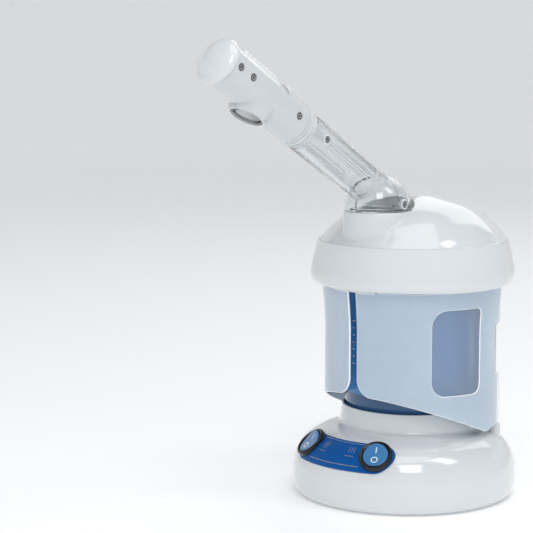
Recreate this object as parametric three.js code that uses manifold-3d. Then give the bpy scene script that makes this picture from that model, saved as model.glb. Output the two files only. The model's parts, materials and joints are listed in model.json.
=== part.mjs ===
// Table-top facial steamer: a round base with two rocker switches, a clear water tank behind two
// hinged guard doors, a domed steam hood, and a clear telescopic arm that carries a turning head.
// Millimetres, +Z up. The origin is on the axis of the round base, at floor level; the front is -Y.
// Angles named "bearing" run in degrees from the front (-Y) towards the right-hand side (+X).

import * as THREE from "three";
import { mergeVertices } from "three/addons/utils/BufferGeometryUtils.js";
import Module from "manifold-3d";

const wasm = await Module();
wasm.setup();

// ---------------------------------------------------------------- driving dimensions

const GAP = 0.3; // clearance between parts that touch
const LARGE = 28; // segments round a casing
const MEDIUM = 16;
const SMALL = 8;
const HEAD_SEGMENTS = 20;
const DOOR_SEGMENTS = 36;

// base
const BASE_R = 95;
const FOOT_H = 1.5;
const FOOT_R = 8;
const FOOT_CIRCLE = 70;
const COVER_Z = 1.8; // underside of the bottom cover
const COVER_T = 2.4;
const COVER_R = 86.8;
const SCREW_CIRCLE = 76;
const COVER_SCREW_BEARINGS = [45, 135, 225, 315];

// water tank and its collar, behind the base's axis
const TANK_Y = 9.2;
const COLLAR_TOP = 76;
const SOCKET_R = 57;
const SOCKET_Z = 62;
const TANK_R = 57.5;
const TANK_TOP = 177.3;
const TANK_WALL = 2.2;
const TANK_HOLE_R = 26; // hole in the tank's bottom over the heater
const HEATER_R = 25.5;

// switches on the sloping front of the base
const SWITCH_BEARING = 25.6;
const SWITCH_REACH = 84; // from the base's axis to a switch's centre
const SWITCH_Z = 47.2;
const SWITCH_TILT = 48; // the switch axis above the horizontal
const ROCKER_LEAN = 6; // a rocker leans this far to either side of its middle
const BEZEL_R = 14;
const ROCKER_R = 10.6;
const SWITCH_BODY_R = 11.8;

// guard doors, rear column and hinges, all round the tank's axis
const DOOR_R = 74;
const DOOR_T = 2;
const DOOR_FLARE_R = 76.5;
const DOOR_TOP = 178.4;
const DOOR_FRONT = 3; // bearing of a door's front edge
const DOOR_REAR = 112;
const DOOR_CUT_Z = 63.2; // height of the slanting lower edge beside the tank's axis
const DOOR_CUT_SLOPE = 0.385;
const HINGE_R = 70.5;
const HINGE_BEARING = 122;
const KNUCKLE_R = 4.2;
const KNUCKLES = [[61, 105], [147, DOOR_TOP]];
const PIN_R = 1.3;
const PIN_BORE_R = 1.7;
const PIN_BOTTOM = 54.6;
const EAR_R = 4.4;
const EAR_DEPTH = 1.6; // how far the ear stands out behind the hinge
const EAR_TOP = 60.4;
const COLUMN_R = 65.6;
const COLUMN_T = 4;
const COLUMN_BEARINGS = [116, 244];

// dome
const FLOOR_Z = 181.5;
const FLOOR_T = 2.5;
const FLOOR_R = 81;
const RIM_Z = 181;
const SEAM_Z = 216.4; // where the cover sits on the band
const STEAM_HOLE_R = 45;

// swivel boss
const BOSS_Y = -35.7;
const BOSS_TOP = 244;
const BOSS_BORE_R = 25;
const SHOULDER_Z = 238.6;
const SHOULDER_R = 21.3;

// arm: a clear tube that leaves the elbow at a fixed slope
const ARM_Z = 257.2; // where the tube's axis crosses the swivel axis
const ARM_SLOPE = 32; // degrees above the horizontal
const ARM_TUBE_R = 16.6;
const ARM_TUBE_BORE = 14.9;
const ARM_TUBE_END = 107;
const SKIRT_R = 27.6;
const SKIRT_Z = 244.4;
const ELBOW_TOP = 274;
const SHELL_T = 2;
const SPIGOT_R = 20.8;
const SPIGOT_BORE = 18.4;
const SPIGOT_BOTTOM = 230;
const INNER_TUBE_R = 12;
const INNER_TUBE_BORE = 10.3;
const INNER_TUBE_SPAN = [16, 128];

// head, measured along the arm's axis from the swivel axis
const HEAD_R = 18.65;
const HEAD_BORE = 15.6;
const HEAD_SPAN = [119.7, 211.6];
const CAP_R = 19.6;
const CAP_SPAN = [212, 222.5];
const NOZZLE_AT = 165.5;
const NOZZLE_DROP = 21.2; // from the arm's axis to the mouth
const NOZZLE_MOUTH_R = 15.2;
const NOZZLE_BORE = 13.4;
const SLIDER_SPAN = [159.4, 201.1];
const SLIDER_TRAVEL = 11.5;
const SLIDER_HALF_ANGLE = 62;
const HEAD_SCREWS_AT = [131.6, 190.4, 205.5];
const ARM_SCREW_AT = 94;
const SCREW_HEAD_R = 2.7;
const RECESS_R = 3.2;

// ---------------------------------------------------------------- materials

const finish = (color, roughness, metalness = 0, opacity = 1) =>
  new THREE.MeshStandardMaterial({ color, roughness, metalness, opacity, transparent: opacity < 1 });

const WHITE = finish(0xeef2f4, 0.22);
const FROSTED = finish(0xc9d9e6, 0.5, 0, 0.75);
const TANK_BLUE = finish(0x2f6fb5, 0.08, 0, 0.55);
const CLEAR = finish(0xd8e4ea, 0.1, 0, 0.4);
const LABEL_BLUE = finish(0x0f5fb4, 0.3);
const BLACK = finish(0x16181b, 0.35);
const ROCKER_BLUE = finish(0x4f8ed0, 0.15, 0, 0.8);
const RUBBER = finish(0x2a2c2e, 0.85);
const SILICONE = finish(0xd9dcdc, 0.6);
const STEEL = finish(0xb9bdc1, 0.3, 1);
const CHROME = finish(0xd5d8db, 0.12, 1);
const ALUMINIUM = finish(0xa9adb1, 0.45, 1);
const BOARD_GREEN = finish(0x1f6b3a, 0.6);
const GLASS = finish(0xe8f2ff, 0.05, 0, 0.3);

// ---------------------------------------------------------------- geometry helpers

const rad = THREE.MathUtils.degToRad;
const group = new THREE.Group();

// The point at a bearing and distance from a vertical axis at y = axisY.
function polar(bearing, distance, axisY = 0) {
  return [distance * Math.sin(rad(bearing)), axisY - distance * Math.cos(rad(bearing))];
}

// A closed three.js geometry as a solid that can be joined and cut.
function solid(geometry) {
  const bare = geometry.clone();
  bare.deleteAttribute("normal");
  bare.deleteAttribute("uv");
  const merged = mergeVertices(bare);
  const corners = merged.index.array;
  const kept = [];
  for (let i = 0; i < corners.length; i += 3) {
    const [a, b, c] = [corners[i], corners[i + 1], corners[i + 2]];
    if (a !== b && b !== c && c !== a) kept.push(a, b, c);
  }
  return new wasm.Manifold(new wasm.Mesh({
    numProp: 3,
    vertProperties: new Float32Array(merged.attributes.position.array),
    triVerts: new Uint32Array(kept),
  }));
}

// The solid as a three.js mesh, added to a parent under its own name.
function part(name, shape, material, parent = group) {
  const result = shape.getMesh();
  const geometry = new THREE.BufferGeometry();
  geometry.setAttribute("position", new THREE.BufferAttribute(result.vertProperties, 3));
  geometry.setIndex(new THREE.BufferAttribute(result.triVerts, 1));
  geometry.computeVertexNormals();
  const mesh = new THREE.Mesh(geometry, material);
  mesh.name = name;
  parent.add(mesh);
  return mesh;
}

// Turns a [radius, height] outline round the vertical axis at (x, y). An outline that starts and
// ends on the axis is a full body; any other is closed on itself and makes a ring.
function lathe(outline, segments = LARGE, x = 0, y = 0) {
  const onAxis = outline[0][0] === 0 && outline.at(-1)[0] === 0;
  const loop = onAxis ? outline.slice() : [...outline, outline[0]];
  let area = 0;
  for (let i = 0; i < outline.length; i += 1) {
    const [r0, z0] = outline[i];
    const [r1, z1] = outline[(i + 1) % outline.length];
    area += r0 * z1 - r1 * z0;
  }
  if (area < 0) loop.reverse();
  const geometry = new THREE.LatheGeometry(loop.map(([r, z]) => new THREE.Vector2(r, z)), segments);
  geometry.rotateX(Math.PI / 2);
  geometry.translate(x, y, 0);
  return solid(geometry);
}

const disc = (radius, low, high, segments = MEDIUM, x = 0, y = 0) =>
  lathe([[0, low], [radius, low], [radius, high], [0, high]], segments, x, y);

const ring = (inner, outer, low, high, segments = MEDIUM, x = 0, y = 0) =>
  lathe([[inner, low], [outer, low], [outer, high], [inner, high]], segments, x, y);

function box(low, high) {
  const size = high.map((value, i) => value - low[i]);
  const geometry = new THREE.BoxGeometry(...size);
  geometry.translate(...high.map((value, i) => (value + low[i]) / 2));
  return solid(geometry);
}

// A flat outline in the XY plane, raised from one height to another.
function prism(shape, low, high, curveSegments = SMALL) {
  const geometry = new THREE.ExtrudeGeometry(shape, { depth: high - low, bevelEnabled: false, curveSegments });
  geometry.translate(0, 0, low);
  return solid(geometry);
}

// A block that bends round a vertical axis at y = axisY, between two bearings.
function sector(inner, outer, bearings, low, high, axisY = 0, curveSegments = SMALL) {
  const [from, to] = bearings.map((bearing) => rad(bearing - 90));
  const shape = new THREE.Shape();
  shape.absarc(0, 0, outer, from, to, false);
  shape.absarc(0, 0, inner, to, from, true);
  shape.closePath();
  return prism(shape, low, high, curveSegments).translate([0, axisY, 0]);
}

// An outline in the YZ plane, drawn out along X.
function prismAlongX(points, low, high) {
  const shape = new THREE.Shape(points.map(([y, z]) => new THREE.Vector2(y, z)));
  const geometry = new THREE.ExtrudeGeometry(shape, { depth: high - low, bevelEnabled: false });
  const turn = new THREE.Matrix4().makeBasis(
    new THREE.Vector3(0, 1, 0), new THREE.Vector3(0, 0, 1), new THREE.Vector3(1, 0, 0));
  geometry.applyMatrix4(turn);
  geometry.translate(low, 0, 0);
  return solid(geometry);
}

// A quarter ellipse in [radius, height] from the rim up to the axis.
function crown(radius, rimZ, topZ, steps = 5) {
  const points = [];
  for (let i = 0; i <= steps; i += 1) {
    const turn = (i / steps) * (Math.PI / 2);
    const r = i === steps ? 0 : radius * Math.cos(turn);
    points.push([r, rimZ + (topZ - rimZ) * Math.sin(turn)]);
  }
  return points;
}

// A tube of constant wall between two level circles whose centres lie at different y.
function slantedTube(low, high, wall, segments = MEDIUM) {
  const level = (end, inset) => {
    const points = [];
    for (let i = 0; i < segments; i += 1) {
      const turn = (i / segments) * 2 * Math.PI;
      const r = end.radius - inset;
      points.push(new THREE.Vector3(r * Math.cos(turn), end.y + r * Math.sin(turn), end.z));
    }
    return points;
  };
  const rings = [level(low, 0), level(high, 0), level(high, wall), level(low, wall)];
  const positions = rings.flat().flatMap((point) => point.toArray());
  const index = [];
  for (let k = 0; k < rings.length; k += 1) {
    const next = ((k + 1) % rings.length) * segments;
    for (let i = 0; i < segments; i += 1) {
      const j = (i + 1) % segments;
      index.push(k * segments + i, k * segments + j, next + j, k * segments + i, next + j, next + i);
    }
  }
  const geometry = new THREE.BufferGeometry();
  geometry.setAttribute("position", new THREE.Float32BufferAttribute(positions, 3));
  geometry.setIndex(index);
  return solid(geometry);
}

// A countersunk-looking machine screw along +Z, its head's top at z = 0.
function screw(length, headRadius = SCREW_HEAD_R) {
  const shankR = headRadius * 0.5;
  const headH = headRadius * 0.6;
  return lathe([[0, -length], [shankR, -length], [shankR, -headH], [headRadius, -headH],
    [headRadius, -0.4], [headRadius - 0.5, 0], [0, 0]], SMALL);
}

// Lay a shape built along +Z down so that it points along +X or +Y.
const alongX = (shape) => shape.rotate([0, 90, 0]);
const alongY = (shape) => shape.rotate([-90, 0, 0]);

const joined = (shapes) => shapes.reduce((whole, shape) => whole.add(shape));

// ---------------------------------------------------------------- base

const BASE_OUTLINE = [[90, 1.4], [93.4, 5], [BASE_R, 12], [BASE_R, 24], [93.6, 32], [90, 40],
  [84, 47], [75, 53], [66, 57]];
const BASE_CAVITY = [[0, 1], [87.3, 1], [87.3, 4.8], [92.4, 9], [92.4, 24], [87.4, 38.4], [73.8, 50.2],
  [50, 56], [0, 57.5]];

const baseOuter = lathe([[0, 1.4], ...BASE_OUTLINE, [50, 60.5], [0, 61]]);

function baseShell() {
  const collar = lathe([[0, 50], [62.6, 50], [62, 53], [60.5, 60], [59.2, COLLAR_TOP - 0.8],
    [58.6, COLLAR_TOP], [0, COLLAR_TOP]], LARGE, 0, TANK_Y);
  const socket = lathe([[0, SOCKET_Z], [SOCKET_R, SOCKET_Z], [SOCKET_R, 63.6], [58.4, 64.4],
    [58.4, 67.6], [SOCKET_R, 68.4], [SOCKET_R, 80], [0, 80]], LARGE, 0, TANK_Y);
  const heaterHole = disc(HEATER_R + 1, 50, 63, MEDIUM, 0, TANK_Y);
  const cavity = lathe(BASE_CAVITY);
  const ears = [1, -1].map((side) => {
    const [x, y] = hingePoint(side);
    const [farX, farY] = polar(side * HINGE_BEARING, HINGE_R + EAR_DEPTH, TANK_Y);
    return joined([disc(EAR_R, 40, EAR_TOP, SMALL, x, y), disc(EAR_R, 40, EAR_TOP, SMALL, farX, farY)]);
  });
  const posts = COVER_SCREW_BEARINGS.map((bearing) => {
    const [x, y] = polar(bearing, SCREW_CIRCLE);
    return disc(4.6, 6, 47, SMALL, x, y);
  });
  let shell = joined([baseOuter, collar, ...ears]).subtract(cavity).add(joined(posts));
  shell = shell.subtract(socket).subtract(heaterHole);
  COVER_SCREW_BEARINGS.forEach((bearing) => {
    const [x, y] = polar(bearing, SCREW_CIRCLE);
    shell = shell.subtract(disc(1.9, 5, 20, SMALL, x, y));
  });
  [1, -1].forEach((side) => {
    const [x, y] = hingePoint(side);
    shell = shell.subtract(disc(PIN_BORE_R, PIN_BOTTOM - GAP, EAR_TOP + 1, SMALL, x, y));
    shell = shell.subtract(onSwitchAxis(disc(SWITCH_BODY_R + 0.6, -30, 20, MEDIUM), side));
  });
  const cordHole = alongY(disc(5.4, 80, 100, SMALL)).translate([0, 0, 18]);
  return shell.subtract(cordHole);
}

// Moves a shape built along +Z onto a switch's axis; its z = 0 lands on the panel's face.
function onSwitchAxis(shape, side) {
  const [x, y] = polar(side * SWITCH_BEARING, SWITCH_REACH);
  return shape.rotate([90 - SWITCH_TILT, 0, side * SWITCH_BEARING]).translate([x, y, SWITCH_Z]);
}

function hingePoint(side) {
  return polar(side * HINGE_BEARING, HINGE_R, TANK_Y);
}

function bottomCover() {
  let cover = disc(COVER_R, COVER_Z, COVER_Z + COVER_T, LARGE);
  COVER_SCREW_BEARINGS.forEach((bearing) => {
    const [x, y] = polar(bearing, SCREW_CIRCLE);
    cover = cover.subtract(disc(RECESS_R, 0, 10, SMALL, x, y));
  });
  return cover;
}

// A thin kidney-shaped plate that follows the slope of the base round both switches.
function controlPanel() {
  const middle = 82.7;
  const halfDepth = 10;
  const endHalfWidth = 16;
  const band = lathe([...raised(1), ...raised(GAP).reverse()]);
  const arc = sector(middle - halfDepth, middle + halfDepth, [-SWITCH_BEARING, SWITCH_BEARING], 20, 70, 0, 12);
  const ends = [1, -1].map((side) => {
    const [x, y] = polar(side * SWITCH_BEARING, middle);
    const shape = new THREE.Shape();
    shape.absellipse(x, y, endHalfWidth, halfDepth, 0, 2 * Math.PI, false, rad(side * SWITCH_BEARING));
    return prism(shape, 20, 70, 8);
  });
  let panel = joined([arc, ...ends]).intersect(band);
  [1, -1].forEach((side) => {
    panel = panel.subtract(onSwitchAxis(disc(SWITCH_BODY_R + 0.6, -30, 30, MEDIUM), side));
  });
  return panel;
}

// The sloping part of the base's outline, moved outwards by a small height.
function raised(height) {
  const slope = BASE_OUTLINE.slice(3);
  return slope.map(([r, z], i) => {
    const [r0, z0] = slope[Math.max(i - 1, 0)];
    const [r1, z1] = slope[Math.min(i + 1, slope.length - 1)];
    const length = Math.hypot(r1 - r0, z1 - z0);
    return [r + ((z1 - z0) / length) * height, z + ((r0 - r1) / length) * height];
  });
}

function addSwitch(label, side) {
  const well = ROCKER_R + 0.5;
  const flange = lathe([[well, -5], [BEZEL_R, -5], [BEZEL_R, 2], [12.8, 3.2], [well, 3.2]]);
  const underPanel = lathe([[0, 0], ...raised(1 + GAP), [66, 58.5], [0, 62]]);
  const body = lathe([[0, -14], [SWITCH_BODY_R, -14], [SWITCH_BODY_R, 2], [well, 2], [well, -5], [0, -5]],
    MEDIUM);
  const rim = onSwitchAxis(flange, side).subtract(underPanel);
  part(`${label}_switch_body`, rim.add(onSwitchAxis(body, side)), BLACK);
  const scoop = alongX(disc(34, -20, 20, MEDIUM)).translate([0, 0, 36.4]);
  const pad = disc(ROCKER_R, -1.2, 3.4, MEDIUM).subtract(scoop).rotate([ROCKER_LEAN, 0, 0]);
  part(`${label}_rocker`, onSwitchAxis(pad, side), ROCKER_BLUE);
}

function addBase() {
  part("base_shell", baseShell(), WHITE);
  part("bottom_cover", bottomCover(), WHITE);
  COVER_SCREW_BEARINGS.forEach((bearing, i) => {
    const [x, y] = polar(bearing, SCREW_CIRCLE);
    const [fx, fy] = polar(bearing + 45, FOOT_CIRCLE);
    part(`cover_screw_${i + 1}`, screw(10).rotate([180, 0, 0]).translate([x, y, 2.2]), STEEL);
    part(`foot_${i + 1}`, disc(FOOT_R, 0, FOOT_H, 24, fx, fy), RUBBER);
  });
  part("control_panel", controlPanel(), LABEL_BLUE);
  addSwitch("steam", 1);
  addSwitch("ozone", -1);
  const gland = lathe([[2.8, 86], [8, 86], [8, 91], [5, 91], [5, 96.4], [6.4, 96.4], [5.4, 106], [2.8, 106]],
    SMALL);
  part("cord_gland", alongY(gland).translate([0, 0, 18]), BLACK);
  part("control_board", box([-34, 20, 14], [34, 62, 15.6]), BOARD_GREEN);
  part("ozone_ballast", box([-26, -52, 10], [26, -14, 32]), BLACK);
}

function addHeater() {
  part("heater_plate", lathe([[0, 54], [22, 54], [22, 57.6], [HEATER_R, 57.6], [HEATER_R, 64.4], [0, 64.4]],
    MEDIUM, 0, TANK_Y), ALUMINIUM);
  part("heating_element", lathe(circleOutline(16, 50.6, 3, 6), MEDIUM, 0, TANK_Y), STEEL);
  part("thermal_cutout", disc(6, 46, 53.6, SMALL, 0, TANK_Y), STEEL);
}

// A round wire section for a ring.
function circleOutline(radius, z, wire, steps) {
  return Array.from({ length: steps }, (_, i) => {
    const turn = (i / steps) * 2 * Math.PI;
    return [radius + wire * Math.cos(turn), z + wire * Math.sin(turn)];
  });
}

// ---------------------------------------------------------------- tank

function waterTank() {
  const wall = TANK_WALL;
  const vessel = lathe([[TANK_HOLE_R, 62.3], [49, 62.3], [54, 63.4], [56.2, 67], [56.3, 77], [TANK_R, 80],
    [TANK_R, TANK_TOP], [50, TANK_TOP], [50, TANK_TOP - wall], [TANK_R - wall, TANK_TOP - wall],
    [TANK_R - wall, 80], [54.4, 77], [54.2, 68], [52, 65.4], [48, 64.5], [TANK_HOLE_R, 64.5]], LARGE, 0, TANK_Y);
  const lugs = [0, 120, 240].map((bearing) =>
    sector(55.4, 57.7, [bearing - 8, bearing + 8], 64.9, 67.1, TANK_Y, 4));
  return joined([vessel, ...lugs]);
}

function addTank() {
  part("water_tank", waterTank(), TANK_BLUE);
  part("tank_plate", lathe([[0, 64.8], [32, 64.8], [32, 66], [28, 67.6], [0, 67.6]], MEDIUM, 0, TANK_Y), STEEL);
}

// ---------------------------------------------------------------- guard doors

function guardDoor() {
  const wall = lathe([[DOOR_R - DOOR_T, 50], [DOOR_R, 50], [DOOR_R, 145], [75, 163], [DOOR_FLARE_R, DOOR_TOP],
    [DOOR_FLARE_R - DOOR_T, DOOR_TOP], [73, 163], [DOOR_R - DOOR_T, 145]], DOOR_SEGMENTS, 0, TANK_Y);
  const span = sector(50, 90, [DOOR_FRONT, DOOR_REAR], 40, 190, TANK_Y, 24);
  const below = prismAlongX([[TANK_Y - 100, 0], [TANK_Y + 100, 0], [TANK_Y + 100, DOOR_CUT_Z - 100 * DOOR_CUT_SLOPE],
    [TANK_Y - 100, DOOR_CUT_Z + 100 * DOOR_CUT_SLOPE]], -120, 120);
  let door = wall.intersect(span).subtract(below);
  const [x, y] = hingePoint(1);
  KNUCKLES.forEach(([low, high]) => {
    const leaf = sector(DOOR_R - DOOR_T - 0.2, DOOR_R, [DOOR_REAR - 3, 120.5], low, high, TANK_Y, 6);
    door = door.add(leaf).add(disc(KNUCKLE_R, low, high, SMALL, x, y));
  });
  return door.subtract(disc(PIN_BORE_R, 40, 200, SMALL, x, y));
}

function addDoors() {
  const door = guardDoor();
  part("right_guard_door", door, FROSTED);
  part("left_guard_door", door.mirror([1, 0, 0]), FROSTED);
  [["right", 1], ["left", -1]].forEach(([label, side]) => {
    const [x, y] = hingePoint(side);
    part(`${label}_hinge_pin`, disc(PIN_R, PIN_BOTTOM, FLOOR_Z + 2, SMALL, x, y), STEEL);
  });
}

function rearColumn() {
  const wall = sector(COLUMN_R - COLUMN_T, COLUMN_R, COLUMN_BEARINGS, 48, FLOOR_Z - GAP, TANK_Y, 24);
  const seat = lathe([[0, 0], ...raised(GAP), [66, 58], [0, 61.6]]);
  const collarSeat = disc(62.6 + GAP, 40, 60, LARGE, 0, TANK_Y);
  return wall.subtract(seat).subtract(collarSeat);
}

// ---------------------------------------------------------------- dome

const COVER_OUTLINE = [[79.8, SEAM_Z], [77.6, 219], [72, 225.6], [60, 236.2], [44, 246.2], [20, 253],
  [0, 255.6]];
const COVER_INNER = [[77, SEAM_Z], [75.6, 217.4], [70.3, 223.6], [58.5, 234.1], [43, 243.8], [19.6, 250.4],
  [0, 253]];

function domeBand() {
  const top = SEAM_Z - GAP;
  return lathe([[84, RIM_Z], [86.2, 184.4], [86.5, 190], [85, 198.4], [83.4, 205.4], [81.2, 212.6], [80, top],
    [77.2, top], [80.6, 205.4], [82.2, 198.4], [83.8, 190], [83.8, 186], [81.6, 183], [81.6, RIM_Z]],
  LARGE, 0, TANK_Y);
}

function domeCover() {
  const outer = lathe([[0, SEAM_Z], ...COVER_OUTLINE], LARGE, 0, TANK_Y);
  const inner = lathe([[0, SEAM_Z - 1], [77, SEAM_Z - 1], ...COVER_INNER], LARGE, 0, TANK_Y);
  const boss = lathe([[0, SEAM_Z], [29.8, SEAM_Z], [28.4, BOSS_TOP - 0.6], [27.8, BOSS_TOP], [0, BOSS_TOP]],
    LARGE, 0, BOSS_Y);
  const dishWall = lathe([[0, 240.6], [33, 240.6], [33.4, 250], [34, 262], [0, 262]], LARGE, 0, BOSS_Y);
  const dish = lathe([[0, BOSS_TOP], [30, BOSS_TOP], [30.4, 250], [31, 262], [0, 262]], LARGE, 0, BOSS_Y);
  const bore = lathe([[0, 210], [BOSS_BORE_R, 210], [BOSS_BORE_R, SHOULDER_Z], [SHOULDER_R, SHOULDER_Z],
    [SHOULDER_R, 250], [0, 250]], LARGE, 0, BOSS_Y);
  return outer.subtract(inner).add(boss).add(dishWall.intersect(outer)).subtract(dish).subtract(bore);
}

function addDome() {
  let floor = ring(STEAM_HOLE_R, FLOOR_R, FLOOR_Z, FLOOR_Z + FLOOR_T, LARGE, 0, TANK_Y);
  [1, -1].forEach((side) => {
    const [x, y] = hingePoint(side);
    floor = floor.subtract(disc(PIN_BORE_R, 170, 190, SMALL, x, y));
  });
  part("dome_floor", floor, WHITE);
  part("dome_band", domeBand(), WHITE);
  part("dome_cover", domeCover(), WHITE);
  part("door_catch", sector(72, 79.4, [-18, 18], DOOR_TOP + 0.4, FLOOR_Z - GAP, TANK_Y, 10), WHITE);
  part("tank_gasket", ring(46.5, 56.8, TANK_TOP + GAP, FLOOR_Z - GAP, LARGE, 0, TANK_Y), SILICONE);
  part("steam_duct", slantedTube({ radius: 48.5, y: TANK_Y, z: FLOOR_Z + FLOOR_T + GAP },
    { radius: 30, y: BOSS_Y, z: SEAM_Z - GAP }, 2), WHITE);
  part("lamp_bracket", box([-33, TANK_Y - 20, 184.8], [33, TANK_Y - 8, 187]), STEEL);
  part("ozone_lamp", lathe([[0, 187.4], [6, 187.4], [6, 193], [4.6, 194.4], [4.6, 205], ...crown(4.6, 205, 209, 4)],
    SMALL, 0, TANK_Y - 14), GLASS);
}

// ---------------------------------------------------------------- arm

// Everything on the arm's axis is built along +Z and tipped forwards onto the slope.
const armAxis = new THREE.Group();
armAxis.position.set(0, BOSS_Y, ARM_Z);
armAxis.rotation.x = rad(90 - ARM_SLOPE);
group.add(armAxis);

const tipped = (shape) => shape.rotate([90 - ARM_SLOPE, 0, 0]).translate([0, BOSS_Y, ARM_Z]);

// The half of a shape on one side of the X = 0 plane.
function half(shape, side) {
  const inner = side * GAP * 0.5;
  const outer = side * 60;
  return shape.intersect(box([Math.min(inner, outer), -400, -200], [Math.max(inner, outer), 400, 500]));
}

function armBody() {
  const elbow = lathe([[0, SKIRT_Z], [SKIRT_R, SKIRT_Z], ...crown(SKIRT_R, 248, ELBOW_TOP)], LARGE, 0, BOSS_Y);
  const hollow = lathe([[0, SKIRT_Z + SHELL_T], [SKIRT_R - SHELL_T, SKIRT_Z + SHELL_T],
    ...crown(SKIRT_R - SHELL_T, 248, ELBOW_TOP - SHELL_T)], LARGE, 0, BOSS_Y);
  const spigot = disc(SPIGOT_R, SPIGOT_BOTTOM, SKIRT_Z + 1, LARGE, 0, BOSS_Y);
  const spigotBore = disc(SPIGOT_BORE, SPIGOT_BOTTOM - 1, SKIRT_Z + 4, LARGE, 0, BOSS_Y);
  const tube = tipped(disc(ARM_TUBE_R, 6, ARM_TUBE_END, MEDIUM));
  const tubeBore = tipped(disc(ARM_TUBE_BORE, 2, ARM_TUBE_END + 2, MEDIUM));
  const tubeBoss = tipped(alongX(disc(4.2, 13, 18.4, SMALL)).translate([0, 0, ARM_SCREW_AT]));
  const elbowBoss = alongX(disc(4.2, 20, 28.4, SMALL)).translate([0, BOSS_Y + 2, 250.4]);
  const body = joined([elbow, spigot, tube]).subtract(joined([hollow, spigotBore, tubeBore]));
  return body.add(tubeBoss.subtract(tubeBore)).add(elbowBoss);
}

function addArm() {
  const body = armBody();
  const tubeHole = tipped(alongX(disc(SCREW_HEAD_R + GAP, 16.6, 24, SMALL)).translate([0, 0, ARM_SCREW_AT]));
  const elbowHole = alongX(disc(SCREW_HEAD_R + GAP, 26, 34, SMALL)
    .add(disc(1.7, 21.5, 30, SMALL))).translate([0, BOSS_Y + 2, 250.4]);
  part("arm_shell_right", half(body, 1).subtract(tubeHole).subtract(elbowHole), CLEAR);
  part("arm_shell_left", half(body, -1), CLEAR);
  const upperScrew = alongX(disc(SCREW_HEAD_R, 16.9, 18, SMALL)).translate([0, 0, ARM_SCREW_AT]);
  part("arm_screw_upper", upperScrew, STEEL, armAxis);
  part("arm_screw_lower", alongX(screw(5.4)).translate([27.9, BOSS_Y + 2, 250.4]), STEEL);
  part("swivel_ring", ring(SPIGOT_R + GAP, 24.3, 234.6, SHOULDER_Z - 0.4, LARGE, 0, BOSS_Y), SILICONE);
  part("swivel_seal", ring(SPIGOT_R + GAP, 24.3, 231.2, 233.8, LARGE, 0, BOSS_Y), RUBBER);
}

function addSlide() {
  const [low, high] = INNER_TUBE_SPAN;
  part("inner_tube", ring(INNER_TUBE_BORE, INNER_TUBE_R, low, high, MEDIUM), CLEAR, armAxis);
  part("tube_seal", ring(INNER_TUBE_R + GAP, 14.5, low + 2, low + 6, MEDIUM), SILICONE, armAxis);
  part("slide_collar", lathe([[INNER_TUBE_R + GAP, 107.6], [16.6, 107.6], [16.6, 110], [15.4, 110.6], [15.4, 112],
    [16.8, 112.6], [16.8, 114.6], [15.8, 115.2], [15.8, 116.4], [17.4, 117], [17.4, 119.2],
    [INNER_TUBE_R + GAP, 119.2]], MEDIUM), CLEAR, armAxis);
}

// ---------------------------------------------------------------- head, along the arm's axis

// The front of the arm's underside lies along local -Y, so a spout built along +Z is laid that way.
const towardsUnderside = (shape) => shape.rotate([90, 0, 0]).translate([0, 0, NOZZLE_AT]);

// A sector round the head's own axis, centred on its top.
const topSector = (inner, outer, halfAngle, low, high, steps = 8) =>
  sector(inner, outer, [180 - halfAngle, 180 + halfAngle], low, high, 0, steps);

function headBody() {
  const [low, high] = HEAD_SPAN;
  const casing = lathe([[0, low], [17.8, low], [HEAD_R, low + 1.2], [HEAD_R, high - 2], [18, high], [0, high]],
    HEAD_SEGMENTS);
  const spout = towardsUnderside(lathe([[0, 2], [18.4, 2], [17.8, 11], [16.5, 17.6],
    [NOZZLE_MOUTH_R, NOZZLE_DROP], [0, NOZZLE_DROP]], MEDIUM));
  const catchPad = topSector(HEAD_R - 1, 19.6, 50, 138.5, 146.8);
  const bore = lathe([[0, low - 2], [INNER_TUBE_R + 1, low - 2], [INNER_TUBE_R + 1, low + 2.4],
    [HEAD_BORE, low + 2.4], [HEAD_BORE, high + 2], [0, high + 2]], HEAD_SEGMENTS);
  const mouth = towardsUnderside(disc(NOZZLE_BORE, 4, 30, MEDIUM));
  const rail = topSector(17.2, 30, SLIDER_HALF_ANGLE + 1, SLIDER_SPAN[0] - SLIDER_TRAVEL - 0.6,
    SLIDER_SPAN[1] + 0.4);
  return joined([casing, spout, catchPad]).subtract(joined([bore, mouth])).subtract(rail);
}

function addHead() {
  const body = headBody();
  let right = half(body, 1);
  HEAD_SCREWS_AT.forEach((at, i) => {
    const hole = alongX(disc(SCREW_HEAD_R + GAP, 17.2, 30, SMALL)).translate([0, 0, at]);
    right = right.subtract(hole);
    const screw = alongX(disc(SCREW_HEAD_R, 17.5, 18.3, SMALL)).translate([0, 0, at]);
    part(`head_screw_${i + 1}`, screw, STEEL, armAxis);
  });
  part("head_shell_right", right, WHITE, armAxis);
  part("head_shell_left", half(body, -1), WHITE, armAxis);
  const [capLow, capTop] = CAP_SPAN;
  part("head_cap", lathe([[0, capTop - 2], [12, capTop - 3.6], [17.2, capLow + 3], [17.2, capLow], [CAP_R, capLow],
    [CAP_R, capLow + 1.6], ...crown(CAP_R, capLow + 1.6, capTop, 5).slice(1)], HEAD_SEGMENTS), WHITE, armAxis);
  part("nozzle_insert", towardsUnderside(lathe([[6, 5], [7, 5], [7, 11], [12.9, 17.4], [12.9, 20.6],
    [11.9, 20.6], [11.9, 17.9], [6, 11.5]], MEDIUM)), CHROME, armAxis);
}

function addSlider() {
  const [low, high] = SLIDER_SPAN;
  const plate = topSector(17.5, HEAD_R, SLIDER_HALF_ANGLE, low, high);
  const ribs = Array.from({ length: 8 }, (_, i) => {
    const at = low + 2 + (i * (high - low - 6)) / 7;
    return topSector(HEAD_R - 0.6, 20, 38, at, at + 2.2, 4);
  });
  part("head_slider", joined([plate, ...ribs]), WHITE, armAxis);
}

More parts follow.
